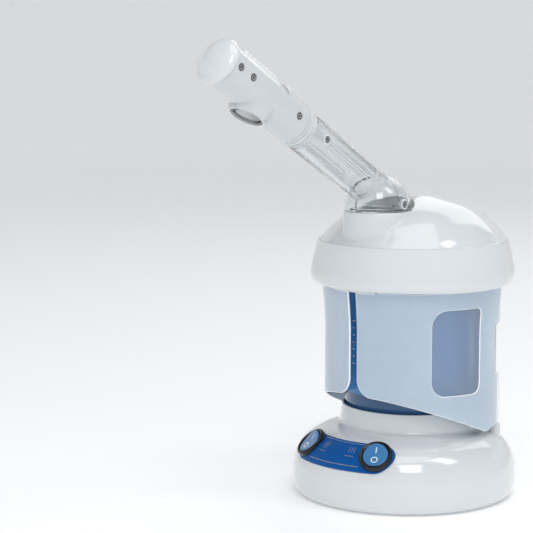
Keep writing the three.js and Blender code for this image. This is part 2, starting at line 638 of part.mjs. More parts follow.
addBase();
addHeater();
addTank();
addDoors();
part("rear_column", rearColumn(), WHITE);
addDome();
addArm();
addSlide();
addHead();
addSlider();

export default group;
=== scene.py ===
"""Facial steamer: the visible pieces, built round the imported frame.

Lengths are millimetres until a mesh is made. A bearing runs in degrees from the front (-Y) towards +X.
"""
import json
from math import acos, asin, atan2, cos, degrees, hypot, pi, radians, sin, tan

import bmesh
import bpy
import numpy as np
from mathutils import Matrix, Vector


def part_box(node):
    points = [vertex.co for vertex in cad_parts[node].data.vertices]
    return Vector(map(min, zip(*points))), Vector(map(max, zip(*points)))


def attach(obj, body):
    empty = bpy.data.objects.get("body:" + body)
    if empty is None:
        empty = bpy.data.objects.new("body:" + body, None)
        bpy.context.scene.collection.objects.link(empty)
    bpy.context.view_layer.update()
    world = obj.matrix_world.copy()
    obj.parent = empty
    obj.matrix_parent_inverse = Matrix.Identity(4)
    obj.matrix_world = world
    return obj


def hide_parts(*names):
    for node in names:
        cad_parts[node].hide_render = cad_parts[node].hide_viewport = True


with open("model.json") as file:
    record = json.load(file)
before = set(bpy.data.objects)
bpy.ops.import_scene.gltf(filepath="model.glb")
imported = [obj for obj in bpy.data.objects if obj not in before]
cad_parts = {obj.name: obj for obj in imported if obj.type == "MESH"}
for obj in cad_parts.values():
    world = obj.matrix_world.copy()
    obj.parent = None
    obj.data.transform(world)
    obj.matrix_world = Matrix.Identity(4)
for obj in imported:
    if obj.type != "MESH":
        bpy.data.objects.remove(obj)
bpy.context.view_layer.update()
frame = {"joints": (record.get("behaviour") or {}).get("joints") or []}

MM = 0.001
GAP = 0.3  # between the CAD's neighbouring pieces
ROUND = 192  # points round a casing
FINE = 96  # points round a tube or knob

# -------- dimensions, from the frame


def span(node):
    """Lowest and highest corner of a CAD node, in millimetres."""
    low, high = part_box(node)
    return low / MM, high / MM


def joint(name):
    return next(j for j in frame["joints"] if j["name"] == name)


def joint_at(name):
    return [v / MM for v in joint(name)["pos_m"]]


base_low, base_high = span("base_shell")
BASE_BOTTOM = base_low.z
COLLAR_TOP = base_high.z

tank_low, tank_high = span("water_tank")
TANK_Y = (tank_low.y + tank_high.y) / 2
TANK_R = tank_high.x
TANK_TOP = tank_high.z
TANK_BOTTOM = tank_low.z

band_low, band_high = span("dome_band")
RIM_Z = band_low.z
BAND_R = band_high.x
cover_low, cover_high = span("dome_cover")
DOME_TOP = cover_high.z
SEAM_Z = cover_low.z
DOME_R = cover_high.x

_, BOSS_Y, BOSS_TOP = joint_at("arm_swivel")
ARM_Z = joint_at("head_twist")[2]
ARM_AXIS = Vector(joint("arm_telescope")["axis"]).normalized()
ARM_SLOPE = degrees(asin(ARM_AXIS.z))
SKIRT_R = -span("arm_shell_left")[0].x
SPIGOT_BOTTOM = span("arm_shell_left")[0].z

door_high = span("right_guard_door")[1]
DOOR_TOP = door_high.z
DOOR_R, DOOR_T = 74, 2
DOOR_FRONT, CATCH_END, DOOR_REAR = 3, 18.3, 112  # bearings
DOOR_RISE = 1.2  # of the upper edge, beside the catch
HINGE_X, HINGE_Y, _ = joint_at("right_door_hinge")
HINGE_BEARING = degrees(atan2(HINGE_X, TANK_Y - HINGE_Y))
PIN_BOTTOM = span("right_hinge_pin")[0].z
PIN_R, PIN_HOLE_R = 1.3, 1.7
EAR_R, EAR_DEPTH, EAR_TOP = 4.4, 1.6, 60.4
KNUCKLE_R, KNUCKLE_REAR = 4.2, 120.5
LOW_KNUCKLE_TOP, HIGH_KNUCKLE_BOTTOM = 105, 147

SWITCH_X, SWITCH_Y, SWITCH_Z = joint_at("steam_rocker_tilt")
SWITCH_BEARING = degrees(atan2(SWITCH_X, -SWITCH_Y))
SWITCH_TILT = 48
SWITCH_WELL_R = 12.4
ROCKER_LEAN = 6

ARM_TUBE_R, ARM_TUBE_BORE, ARM_TUBE_END = 16.6, 14.9, 107
INNER_TUBE_R, INNER_TUBE_BORE = 12, 10.3
HEAD_R, HEAD_BORE = 18.65, 15.6
HEAD_LOW, HEAD_HIGH = 119.7, 211.6
NOZZLE_AT = 165.5
SLIDER_LOW, SLIDER_HIGH, SLIDER_TRAVEL = 159.4, 201.1, 11.5
SLIDER_HALF_ANGLE = 62
SCREW_R, SCREW_WELL_R = 2.7, 3.2

# -------- frames of reference


def turned_by(angle, axis):
    return Matrix.Rotation(radians(angle), 4, axis)


def moved(x, y, z):
    return Matrix.Translation((x, y, z))


ON_TANK = moved(0, TANK_Y, 0)
ON_BOSS = moved(0, BOSS_Y, 0)
ON_ARM = moved(0, BOSS_Y, ARM_Z) @ turned_by(90 - ARM_SLOPE, "X")
ON_SPOUT = ON_ARM @ moved(0, 0, NOZZLE_AT) @ turned_by(90, "X")
TO_SIDE = turned_by(90, "Y")  # lays a shape built along +Z down along +X
TO_REAR = turned_by(-90, "X")  # and along +Y


def on_switch(side, lean=0):
    place = moved(side * SWITCH_X, SWITCH_Y, SWITCH_Z) @ turned_by(side * SWITCH_BEARING, "Z")
    return place @ turned_by(90 - SWITCH_TILT + lean, "X")


# -------- outlines


def softened(points, steps=5):
    """An outline whose corners are rounded: a point's third number is its corner's radius."""
    result = []
    count = len(points)
    for i, point in enumerate(points):
        radius = point[2] if len(point) > 2 else 0
        here = np.array(point[:2], float)
        if not radius:
            result.append(here)
            continue
        before, after = points[i - 1], points[(i + 1) % count]
        arms = [np.array(p[:2], float) - here for p in (before, after)]
        lengths = [np.linalg.norm(arm) for arm in arms]
        ways = [arm / length for arm, length in zip(arms, lengths)]
        half = acos(max(-1, min(1, float(ways[0] @ ways[1])))) / 2
        shares = [0.49 if len(p) > 2 and p[2] else 0.98 for p in (before, after)]
        reach = min(radius / tan(half), *(s * n for s, n in zip(shares, lengths)))
        radius = reach * tan(half)
        middle = ways[0] + ways[1]
        centre = here + middle / np.linalg.norm(middle) * radius / sin(half)
        start, end = (here + way * reach - centre for way in ways)
        first = atan2(start[1], start[0])
        sweep = atan2(end[1], end[0]) - first
        sweep = (sweep + pi) % (2 * pi) - pi
        for k in range(steps + 1):
            turn = first + sweep * k / steps
            result.append(centre + radius * np.array([cos(turn), sin(turn)]))
    return result


def through(points, steps=6):
    """A smooth curve through the points."""
    pts = [np.array(p, float) for p in points]
    ends = [2 * pts[0] - pts[1], *pts, 2 * pts[-1] - pts[-2]]
    curve = []
    for i in range(1, len(ends) - 2):
        a, b, c, d = ends[i - 1:i + 3]
        for k in range(steps):
            t = k / steps
            curve.append(0.5 * (2 * b + (c - a) * t + (2 * a - 5 * b + 4 * c - d) * t**2
                                + (3 * b - a - 3 * c + d) * t**3))
    return [*curve, pts[-1]]


def dome_line(radius, rim, top, steps=16):
    """A quarter ellipse from the rim to the axis."""
    turns = np.linspace(0, pi / 2, steps + 1)
    return [(radius * cos(t), rim + (top - rim) * sin(t)) for t in turns[:-1]] + [(0, top)]


# -------- forms: points and faces


def around(reach, turns, z, y=0.0):
    """Points at a distance from the upright axis at y. Turns are in radians from the front."""
    reach, turns, z = np.broadcast_arrays(reach, turns, z)
    return np.stack([reach * np.sin(turns), y - reach * np.cos(turns), z], -1)


def circle(radius, z, count, y=0.0):
    return around(radius, np.arange(count) * 2 * pi / count, z, y)


def skin(rings, loop=False):
    """Quads between neighbouring rings. A loop joins the last ring to the first; otherwise both ends close."""
    count = len(rings[0])
    faces = []
    for k in range(len(rings) - (0 if loop else 1)):
        low, high = k * count, ((k + 1) % len(rings)) * count
        for i in range(count):
            j = (i + 1) % count
            faces.append((low + i, low + j, high + j, high + i))
    if not loop:
        faces.append(tuple(reversed(range(count))))
        faces.append(tuple(range((len(rings) - 1) * count, len(rings) * count)))
    return np.concatenate(rings), faces


def set_in(form, place):
    points, faces = form
    turn = np.array(place)
    return points @ turn[:3, :3].T + turn[:3, 3], faces


def lathe(outline, count=FINE, place=None):
    """The outline of (radius, z) points, softened and turned round the z axis of its place."""
    line = softened(outline)
    on_axis = line[0][0] == 0 and line[-1][0] == 0
    form = skin([circle(max(r, 1e-4), z, count) for r, z in line], loop=not on_axis)
    return form if place is None else set_in(form, place)


def post(radius, low, high, count=FINE, place=None, soft=0):
    return lathe([(0, low), (radius, low, soft), (radius, high, soft), (0, high)], count, place)


def slab(outer, inner):
    """A closed body between two matching grids of points."""
    rows, columns = outer.shape[:2]
    count = rows * columns
    points = np.concatenate([outer.reshape(-1, 3), inner.reshape(-1, 3)])
    faces = []
    for r in range(rows - 1):
        for c in range(columns - 1):
            quad = (r * columns + c, r * columns + c + 1, (r + 1) * columns + c + 1, (r + 1) * columns + c)
            faces.append(quad)
            faces.append(tuple(count + v for v in reversed(quad)))
    edge = [*range(columns)] + [r * columns + columns - 1 for r in range(1, rows)]
    edge += [(rows - 1) * columns + c for c in range(columns - 2, -1, -1)]
    edge += [r * columns for r in range(rows - 2, 0, -1)]
    for a, b in zip(edge, edge[1:] + edge[:1]):
        faces.append((b, a, count + a, count + b))
    return points, faces


def block(low, high):
    corners = [(x, y, z) for z in (low[2], high[2]) for x, y in
               ((low[0], low[1]), (high[0], low[1]), (high[0], high[1]), (low[0], high[1]))]
    faces = [(3, 2, 1, 0), (4, 5, 6, 7), (0, 1, 5, 4), (1, 2, 6, 5), (2, 3, 7, 6), (3, 0, 4, 7)]
    return np.array(corners, float), faces


def ribbon(path, normals, width, height, closed):
    """A low bead along a path that lies on a surface, sunk a little into it."""
    path, normals = np.array(path, float), np.array(normals, float)
    if closed:
        along = np.roll(path, -1, 0) - np.roll(path, 1, 0)
    else:
        along = np.gradient(path, axis=0)
    across = np.cross(along, normals)
    across /= np.linalg.norm(across, axis=1)[:, None]
    half, sunk = width / 2, -0.12
    section = [(-half, sunk), (-half, height * 0.5), (-half * 0.6, height), (half * 0.6, height),
               (half, height * 0.5), (half, sunk)]
    rings = [path[i] + np.array([across[i] * s + normals[i] * h for s, h in section]) for i in range(len(path))]
    return skin(rings, loop=closed)


def mirrored(form):
    points, faces = form
    return points * np.array([-1, 1, 1]), [tuple(reversed(f)) for f in faces]


# -------- meshes


def solid(name, form):
    """A new object from a form's points and faces."""
    points, faces = form
    mesh = bpy.data.meshes.new(name)
    mesh.from_pydata([tuple(p) for p in points * MM], [], faces)
    bm = bmesh.new()
    bm.from_mesh(mesh)
    bmesh.ops.remove_doubles(bm, verts=bm.verts, dist=1e-6)
    bmesh.ops.recalc_face_normals(bm, faces=bm.faces)
    bm.to_mesh(mesh)
    bm.free()
    obj = bpy.data.objects.new(name, mesh)
    bpy.context.scene.collection.objects.link(obj)
    return obj


def settle(obj):
    """Applies the modifiers to the mesh."""
    seen = obj.evaluated_get(bpy.context.evaluated_depsgraph_get())
    mesh = bpy.data.meshes.new_from_object(seen)
    obj.modifiers.clear()
    obj.data = mesh


def combined(obj, form, operation):
    tool = solid("tool", form)
    step = obj.modifiers.new(operation, "BOOLEAN")
    step.operation, step.object, step.solver = operation, tool, "MANIFOLD"
    settle(obj)
    bpy.data.objects.remove(tool)


def piece(name, body, slot, form, *nodes, look=None, adds=(), cuts=(), keeps=(), bevel=0, crease=32):
    """One visible piece: its form, joined and cut, riding on a body and standing for its CAD nodes."""
    obj = solid(name, form)
    for forms, operation in ((adds, "UNION"), (cuts, "DIFFERENCE"), (keeps, "INTERSECT")):
        for other in forms:
            combined(obj, other, operation)
    if bevel:
        step = obj.modifiers.new("edges", "BEVEL")
        step.width, step.segments, step.limit_method = bevel * MM, 3, "ANGLE"
        step.angle_limit = radians(40)
        settle(obj)
    obj.data.shade_smooth()
    obj.data.set_sharp_from_angle(angle=radians(crease))
    obj.data.materials.clear()
    obj.data.materials.append(look or LOOKS[slot])
    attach(obj, body)
    if nodes:
        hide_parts(*nodes)
    return obj


def fine(node, *rest, **options):
    """The visible piece of one CAD node."""
    return piece(f"{node}_fine", *rest, node, **options)


def hoop(node, inner, inside=0.4, outside=0.4):
    """The outline of a plain ring as high and wide as its CAD node, softened by two corner radii."""
    low, high = span(node)
    return [(inner, low.z, inside), (high.x, low.z, outside), (high.x, high.z, outside), (inner, high.z, inside)]


def middle_of(node):
    """The place of the upright line through the middle of a CAD node."""
    low, high = span(node)
    return moved((low.x + high.x) / 2, (low.y + high.y) / 2, 0)


def second_look(obj, look, chosen):
    """Another look on the faces that a test of their centre and normal picks out."""
    obj.data.materials.append(look)
    for face in obj.data.polygons:
        if chosen(face.center, face.normal):
            face.material_index = 1


# -------- materials


def material(name, colour, roughness, detail=60, tint=0.03, mottle=0.04, bump=0.05, clear=None, coat=None,
             **sockets):
    """A moulded or machined surface: its colour and roughness vary a little, over a fine bump.

    clear holds the transmission and the index of refraction, coat the coat's weight and roughness.
    """
    made = bpy.data.materials.new(name)
    made.use_nodes = True
    nodes, link = made.node_tree.nodes, made.node_tree.links.new
    shader = nodes["Principled BSDF"]
    place = nodes.new("ShaderNodeTexCoord").outputs["Object"]

    def noise(scale):
        node = nodes.new("ShaderNodeTexNoise")
        node.inputs["Scale"].default_value = scale
        link(place, node.inputs["Vector"])
        return node

    broad = noise(detail)
    broad.inputs["Detail"].default_value = 3
    shades = nodes.new("ShaderNodeValToRGB")
    for stop, share, at in zip(shades.color_ramp.elements, (1 - tint, 1), (0.3, 0.7)):
        stop.color = (*(c * share for c in colour), 1)
        stop.position = at
    link(broad.outputs["Fac"], shades.inputs["Fac"])
    link(shades.outputs["Color"], shader.inputs["Base Color"])
    rough = nodes.new("ShaderNodeMapRange")
    rough.inputs["To Min"].default_value = max(0.0, roughness - mottle)
    rough.inputs["To Max"].default_value = roughness + mottle
    link(broad.outputs["Fac"], rough.inputs["Value"])
    link(rough.outputs["Result"], shader.inputs["Roughness"])
    if bump:
        raised = nodes.new("ShaderNodeBump")
        raised.inputs["Strength"].default_value = bump
        raised.inputs["Distance"].default_value = 0.0002
        link(noise(detail * 14).outputs["Fac"], raised.inputs["Height"])
        link(raised.outputs["Normal"], shader.inputs["Normal"])
    if clear:
        sockets["Transmission_Weight"], sockets["IOR"] = clear
    if coat:
        sockets["Coat_Weight"], sockets["Coat_Roughness"] = coat
    for socket, value in sockets.items():
        shader.inputs[socket.replace("_", " ")].default_value = value
    return made


LOOKS = {
    "white_plastic": material(
        "gloss_white", (0.69, 0.725, 0.745), 0.16, detail=25, tint=0.02, bump=0.015, coat=(1.0, 0.03)),
    "frosted_plastic": material(
        "frosted", (0.70, 0.82, 0.93), 0.32, detail=90, bump=0.08, clear=(0.42, 1.3), coat=(0.5, 0.12)),
    # The tank's blue carries a faint painted glow: its emission lifts the tank where it sits in shade.
    "tank_plastic": material(
        "tank_blue_painted_glow", (0.10, 0.44, 0.88), 0.06, detail=30, bump=0.0, clear=(0.5, 1.3), coat=(0.5, 0.03),
        Emission_Color=(0.05, 0.3, 0.5, 1), Emission_Strength=0.045),
    "clear_plastic": material(
        "clear", (0.95, 0.975, 0.985), 0.05, detail=35, tint=0.02, bump=0.0, clear=(1.0, 1.12), coat=(1.0, 0.02)),
    "panel_blue": material(
        "panel_blue", (0.002, 0.088, 0.33), 0.3, detail=70, tint=0.1, bump=0.02, coat=(0.12, 0.1),
        Specular_IOR_Level=0.1),
    "black_plastic": material(
        "black", (0.008, 0.009, 0.011), 0.22, tint=0.2, bump=0.04, Specular_IOR_Level=0.35),
    "rocker_blue": material(
        "rocker_blue", (0.05, 0.25, 0.56), 0.12, detail=50, tint=0.08, bump=0.0, clear=(0.2, 1.4),
        coat=(0.8, 0.04)),
    "rubber": material("rubber", (0.02, 0.021, 0.022), 0.8, detail=200, tint=0.25, bump=0.4),
    "silicone": material("silicone", (0.78, 0.80, 0.81), 0.35, detail=80, bump=0.1, clear=(0.6, 1.2)),
    "steel": material("steel", (0.60, 0.61, 0.62), 0.36, detail=300, tint=0.2, mottle=0.1, bump=0.15, Metallic=1.0),
    "chrome": material("chrome", (0.45, 0.46, 0.47), 0.12, detail=80, tint=0.06, bump=0.0, Metallic=1.0),
    "aluminium": material(
        "aluminium", (0.62, 0.63, 0.64), 0.42, detail=400, tint=0.15, mottle=0.1, bump=0.3, Metallic=1.0),
    "circuit_board": material("circuit_board", (0.02, 0.16, 0.06), 0.45, detail=300, tint=0.3, bump=0.2),
    "lamp_glass": material("lamp_glass", (0.92, 0.95, 0.98), 0.03, detail=30, bump=0.0, clear=(1.0, 1.5)),
}
# Painted shade: a greyer copy of the gloss white, worn by the head shells only, so their sides read darker.
HEAD_PAINTED_SHADE = material("head_white_painted_shade", (0.59, 0.62, 0.64), 0.16, detail=25, tint=0.02, bump=0.015, coat=(1.0, 0.03))
PRINT_WHITE = material("print_white", (0.85, 0.87, 0.88), 0.35, detail=200)
PRINT_GREY = material("print_grey", (0.27, 0.26, 0.26), 0.35, detail=200, tint=0.1)
WINDOW = material("polished_window", (0.84, 0.91, 0.97), 0.16, bump=0.02, clear=(0.88, 1.25), coat=(0.6, 0.05))
# Painted highlight: a brighter white with a faint glow, for the faces across the doors' edges.
DOOR_EDGE_PAINTED_LIGHT = material("door_edge", (0.97, 0.98, 0.99), 0.3, detail=90, tint=0.02, bump=0.02, coat=(0.6, 0.08),
                     Emission_Strength=0.12)
SCREW_SHADE = material("screw_shade", (0.10, 0.105, 0.11), 0.45, detail=300, tint=0.2, bump=0.1, Metallic=0.6)
# Painted highlight: a whiter, less clear plastic for the bright lines on the tube's beads, the screw bosses and the
# shells' meeting faces; the slide collar wears it whole.
CLEAR_PAINTED_HIGHLIGHT = material("clear_painted_highlight", (0.86, 0.90, 0.92), 0.2, bump=0.0, clear=(0.4, 1.2), coat=(0.6, 0.05))
CLEAR_THIN = material("clear_thin", (0.98, 0.985, 0.99), 0.03, detail=35, tint=0.01, bump=0.0, clear=(1.0, 1.06),
                      coat=(1.0, 0.03))
# Painted shade: a darker blue for the tank's lowest band.
TANK_LOW_PAINTED_SHADE = material("tank_foot", (0.03, 0.12, 0.30), 0.12, tint=0.08, bump=0.02, clear=(0.3, 1.3),
                     coat=(0.8, 0.05))

# -------- base

BASE_OUTLINE = [(90, 1.4), (93.4, 5), (95, 12), (95, 24), (93.6, 32), (90, 40), (84, 47), (75, 53), (66, 57)]
BASE_LINE = np.array(through([*BASE_OUTLINE, (50, 60.5), (0, 61)], 8))
BASE_SLOPE = BASE_LINE[np.argmax(BASE_LINE[:, 0]):]  # from the widest place to the axis
COLLAR_FOOT_R, COLLAR_R = 61.2, 59.2
FILLET = 2.4
SOCKET_R, SOCKET_Z = 57, 62
HEATER_HOLE_R = 26.5
CORD_Z = 18


def base_surface(reach):
    """Height of the sloping top at a distance from the base's axis."""
    return np.interp(reach, BASE_SLOPE[::-1, 0], BASE_SLOPE[::-1, 1])


def base_top(points):
    """Height of the base's top, with the fillet at the collar's foot, at points in plan."""
    height = base_surface(np.hypot(points[:, 0], points[:, 1]))
    off = np.clip(np.hypot(points[:, 0], points[:, 1] - TANK_Y) - COLLAR_FOOT_R, 0, FILLET)
    return height + FILLET - np.sqrt(FILLET**2 - (FILLET - off)**2)


def on_base(bearing, reach, height=0.0):
    """Points on the base's slope, lifted along its normal, and that normal. Bearings are in radians."""
    bearing, reach = np.broadcast_arrays(np.asarray(bearing, float), np.asarray(reach, float))
    step = 0.4
    slope = (base_surface(reach + step) - base_surface(reach - step)) / (2 * step)
    size = np.hypot(slope, 1)
    out, up = -slope / size, 1 / size
    ways = np.stack([np.sin(bearing), -np.cos(bearing)], -1)
    normal = np.stack([ways[..., 0] * out, ways[..., 1] * out, up], -1)
    points = np.stack([ways[..., 0] * reach, ways[..., 1] * reach, base_surface(reach)], -1)
    return points + normal * height, normal


def base_form():
    split = 78  # outside this distance the rings are round the base's axis
    outer = [p for p in BASE_LINE if p[1] < base_surface(split)]
    rings = [circle(r, z, ROUND) for r, z in outer]
    wide, narrow = circle(split, 0, ROUND), circle(COLLAR_FOOT_R + FILLET, 0, ROUND, TANK_Y)
    for share in np.linspace(0, 1, 10)[:-1]:
        plan = wide * (1 - share) + narrow * share
        plan[:, 2] = base_top(plan)
        rings.append(plan)
    for off in FILLET * (1 - np.sin(np.linspace(0, pi / 2, 8))):
        plan = circle(COLLAR_FOOT_R + off, 0, ROUND, TANK_Y)
        plan[:, 2] = base_top(plan)
        rings.append(plan)
    collar = softened([(COLLAR_FOOT_R - 0.3, 64.5), (COLLAR_R, COLLAR_TOP, 0.9), (SOCKET_R + 0.4, COLLAR_TOP, 0.6),
                       (SOCKET_R + 0.2, SOCKET_Z, 0.5), (HEATER_HOLE_R, SOCKET_Z, 0.5), (HEATER_HOLE_R, 57.6)])
    rings += [circle(r, z, ROUND, TANK_Y) for r, z in collar]
    cavity = [(50, 56), (60, 54.2), (73.8, 50.2), (80, 45.6), (87.4, 38.4), (91.2, 30), (92.4, 20), (92.4, 9),
              (87.3, 4.8), (87.3, BASE_BOTTOM)]
    rings += [circle(r, z, ROUND) for r, z in cavity]
    return skin(rings, loop=True)


def raised_base(height):
    """Everything under the base's slope, lifted by a height."""
    lifted = on_base(0.0, BASE_SLOPE[BASE_SLOPE[:, 0] > 40, 0], height)[0]
    return lathe([(0, 0), *[(-p[1], p[2]) for p in lifted], (0, 61 + height)], ROUND)


def stadium(radius, depth, low, high):
    """A post whose outline is a circle stretched away from the tank's axis, with rounded shoulders."""
    rings = []
    for inset, z in ((0, low), (0, high - 1), (0.3, high - 0.3), (1.0, high)):
        ring = circle(radius - inset, z, 48)
        ring[ring[:, 1] < 0, 1] -= depth
        rings.append(ring)
    return skin(rings)


def switch_wells():
    return [post(SWITCH_WELL_R, -30, 20, 64, on_switch(side)) for side in (1, -1)]


def build_base():
    ear = stadium(EAR_R, EAR_DEPTH, 46, EAR_TOP)
    hinges = [moved(side * HINGE_X, HINGE_Y, 0) @ turned_by(side * HINGE_BEARING, "Z") for side in (1, -1)]
    pin_holes = [post(PIN_HOLE_R, PIN_BOTTOM - GAP, 70, 24, place) for place in hinges]
    at_cord = moved(0, 0, CORD_Z) @ TO_REAR
    fine("base_shell", "base", "white_plastic", base_form(), adds=[set_in(ear, place) for place in hinges],
         cuts=[*pin_holes, *switch_wells(), post(5.4, 80, 100, 40, at_cord)])
    low, high = span("bottom_cover")
    plate = lathe([(0, low.z), (high.x, low.z, 0.8), (high.x, high.z, 0.4), (0, high.z)], ROUND)
    spots = [middle_of(f"cover_screw_{i + 1}") for i in range(4)]
    fine("bottom_cover", "base", "white_plastic", plate, cuts=[post(SCREW_WELL_R, 0, 10, 32, s) for s in spots])
    for i, spot in enumerate(spots):
        screw, foot = f"cover_screw_{i + 1}", f"foot_{i + 1}"
        cross_screw(screw, "base", spot @ moved(0, 0, span(screw)[0].z) @ turned_by(180, "X"), length=10)
        top = span(foot)[1].z
        fine(foot, "base", "rubber", lathe([(0, 0), (7.6, 0, 0.5), (8, top, 0.3), (0, top)], 64, middle_of(foot)))
    gland = [(2.8, 86), (8, 86, 0.6), (8, 91, 0.6), (5, 91, 0.3), (5, 96.4), (6.4, 96.4, 0.8), (5.4, 106, 0.8),
             (2.8, 106, 0.4)]
    fine("cord_gland", "base", "black_plastic", lathe(gland, 64, at_cord))


def cross_screw(node, body, place, length=0.8):
    """A pan-head screw with a cross recess, its head's top at z = 0 of its place."""
    slim, under = SCREW_R * 0.5, -SCREW_R * 0.6
    shank = [(slim, -length), (slim, under), (SCREW_R, under)] if length > 2 else [(SCREW_R, -length, 0.1)]
    head = [(0, -length), *shank, (SCREW_R, -0.5, 0.1), (SCREW_R * 0.7, 0), (0, 0)]
    arm, half = SCREW_R * 0.6, 0.45
    slots = [block((-arm, -half, -half), (arm, half, 2)), block((-half, -arm, -half), (half, arm, 2))]
    screw = fine(node, body, "steel", lathe(head, 48, place), cuts=[set_in(s, place) for s in slots])
    facing = (place.to_3x3() @ Vector((0, 0, 1))).normalized()
    top = place.translation

    def round_edge_or_slot(centre, normal):
        return normal.dot(facing) < 0.95 or facing.dot(centre / MM - top) < -0.2

    second_look(screw, SCREW_SHADE, round_edge_or_slot)


# -------- control panel

PANEL_MIDDLE, PANEL_HALF = 82.7, 10
PANEL_END = 16
PANEL_T = 1.0


def panel_ring(inset, height, straight=28, curved=20):
    """A closed line round the kidney, moved in from its border."""
    reach = radians(SWITCH_BEARING) * PANEL_MIDDLE
    wide, tall = PANEL_END - inset, max(PANEL_HALF - inset, 1e-3)
    turns = np.linspace(-pi / 2, pi / 2, curved)
    right = [(reach + wide * cos(t), tall * sin(t)) for t in turns]
    top = [(s, tall) for s in np.linspace(reach, -reach, straight)[1:-1]]
    left = [(-s, t) for s, t in reversed(right)]
    bottom = [(s, -tall) for s in np.linspace(-reach, reach, straight)[1:-1]]
    path = np.array([*right, *top, *left, *bottom])
    return on_base(path[:, 0] / PANEL_MIDDLE, PANEL_MIDDLE - path[:, 1], height)


def panel_mark(name, points, width=0.45, closed=False):
    """A printed line on the panel through points of (sideways, upwards) millimetres from its middle."""
    path = np.array(points, float)
    spots, normals = on_base(path[:, 0] / PANEL_MIDDLE, PANEL_MIDDLE - path[:, 1], PANEL_T)
    piece(name, "base", "white_plastic", ribbon(spots, normals, width, 0.08, closed), look=PRINT_GREY)


def build_panel():
    under = [(inset, 0.3) for inset in (9.99, 8, 5, 2.5, 0.4)]
    edge = [(0.05, 0.4), (0, 0.55), (0.05, 0.8), (0.25, 0.97)]
    over = [(inset, PANEL_T) for inset in (0.5, 2.5, 5, 8, 9.99)]
    form = skin([panel_ring(inset, height)[0] for inset, height in (*under, *edge, *over)])
    fine("control_panel", "base", "panel_blue", form, cuts=switch_wells())
    for label, level in (("upper", 7.9), ("lower", -8.1)):
        panel_mark(f"panel_pinstripe_{label}", [(s, level) for s in np.linspace(-24.6, 24.6, 40)], 0.6)
    turns = np.linspace(0, 2 * pi, 33)[:-1]
    for label, radius in (("ring", 2.6), ("dot", 1.0)):
        loop = [(-14.5 + radius * cos(t), 1.8 + radius * sin(t)) for t in turns]
        panel_mark(f"panel_ozone_{label}", loop, closed=True)
    panel_mark("panel_ozone_line", [(s, -3.2) for s in np.linspace(-18, -11, 12)], 0.5)
    for i in range(3):
        wave = [(12 + 2.4 * i + 0.5 * sin(u * 2 * pi), -0.6 + 4.6 * u) for u in np.linspace(0, 1, 16)]
        panel_mark(f"panel_steam_wave_{i + 1}", wave)
    panel_mark("panel_steam_line", [(s, -3.2) for s in np.linspace(10.5, 18.5, 12)], 0.5)


def rocker_top(y):
    return 2.4 + y**2 / 68


def build_switch(label, side):
    place, lean = on_switch(side), on_switch(side, ROCKER_LEAN)
    flange = [(11.1, -5), (14, -5), (14, 2.2, 0.9), (12.9, 3.3, 0.8), (11.1, 2.6, 0.4)]
    barrel = [(0, -14), (11.8, -14, 0.6), (11.8, 2), (11.1, 2), (11.1, -5), (0, -5)]
    rim = solid("rim", lathe(flange, place=place))
    combined(rim, raised_base(PANEL_T + 0.05), "DIFFERENCE")
    points = np.array([v.co for v in rim.data.vertices]) / MM
    faces = [tuple(p.vertices) for p in rim.data.polygons]
    bpy.data.objects.remove(rim)
    fine(f"{label}_switch_body", "base", "black_plastic", (points, faces), adds=[lathe(barrel, place=place)])
    radius, edge = 10.5, 0.7
    flat = radius - edge
    levels = [(reach, 0) for reach in (0.01, 2, 4, 6, 7.5, 8.8, flat)]
    levels += [(flat + edge * sin(t), edge * (1 - cos(t))) for t in np.linspace(0, pi / 2, 6)[1:]]
    rings = []
    for reach, drop in levels:
        ring = circle(reach, 0, FINE)
        ring[:, 2] = rocker_top(ring[:, 1]) - drop
        rings.append(ring)
    rings += [circle(radius, -0.6, FINE), circle(radius - 0.5, -1.2, FINE), circle(0.01, -1.2, FINE)]
    body = f"{label}_rocker"
    fine(body, body, "rocker_blue", set_in(skin(rings), lean))
    turns = np.linspace(0, 2 * pi, 41)[:-1]
    for word, path in (("off", [(2.5 * sin(t), -4.4 + 2.5 * cos(t)) for t in turns]),
                       ("on", [(0, y) for y in np.linspace(2.2, 7.0, 12)])):
        spots = np.array([(x, y, rocker_top(y)) for x, y in path])
        normals = np.array([(0, -y / 34, 1) for _, y in path])
        normals /= np.linalg.norm(normals, axis=1)[:, None]
        mark = ribbon(spots, normals, 0.85, 0.1, word == "off")
        piece(f"{label}_{word}_mark", body, "white_plastic", set_in(mark, lean), look=PRINT_WHITE)


# -------- tank and heater

MARKS_BEARING = -16.6
TANK_SHADE_TOP = 88.5  # below this height the tank wears a darker blue, painted shade
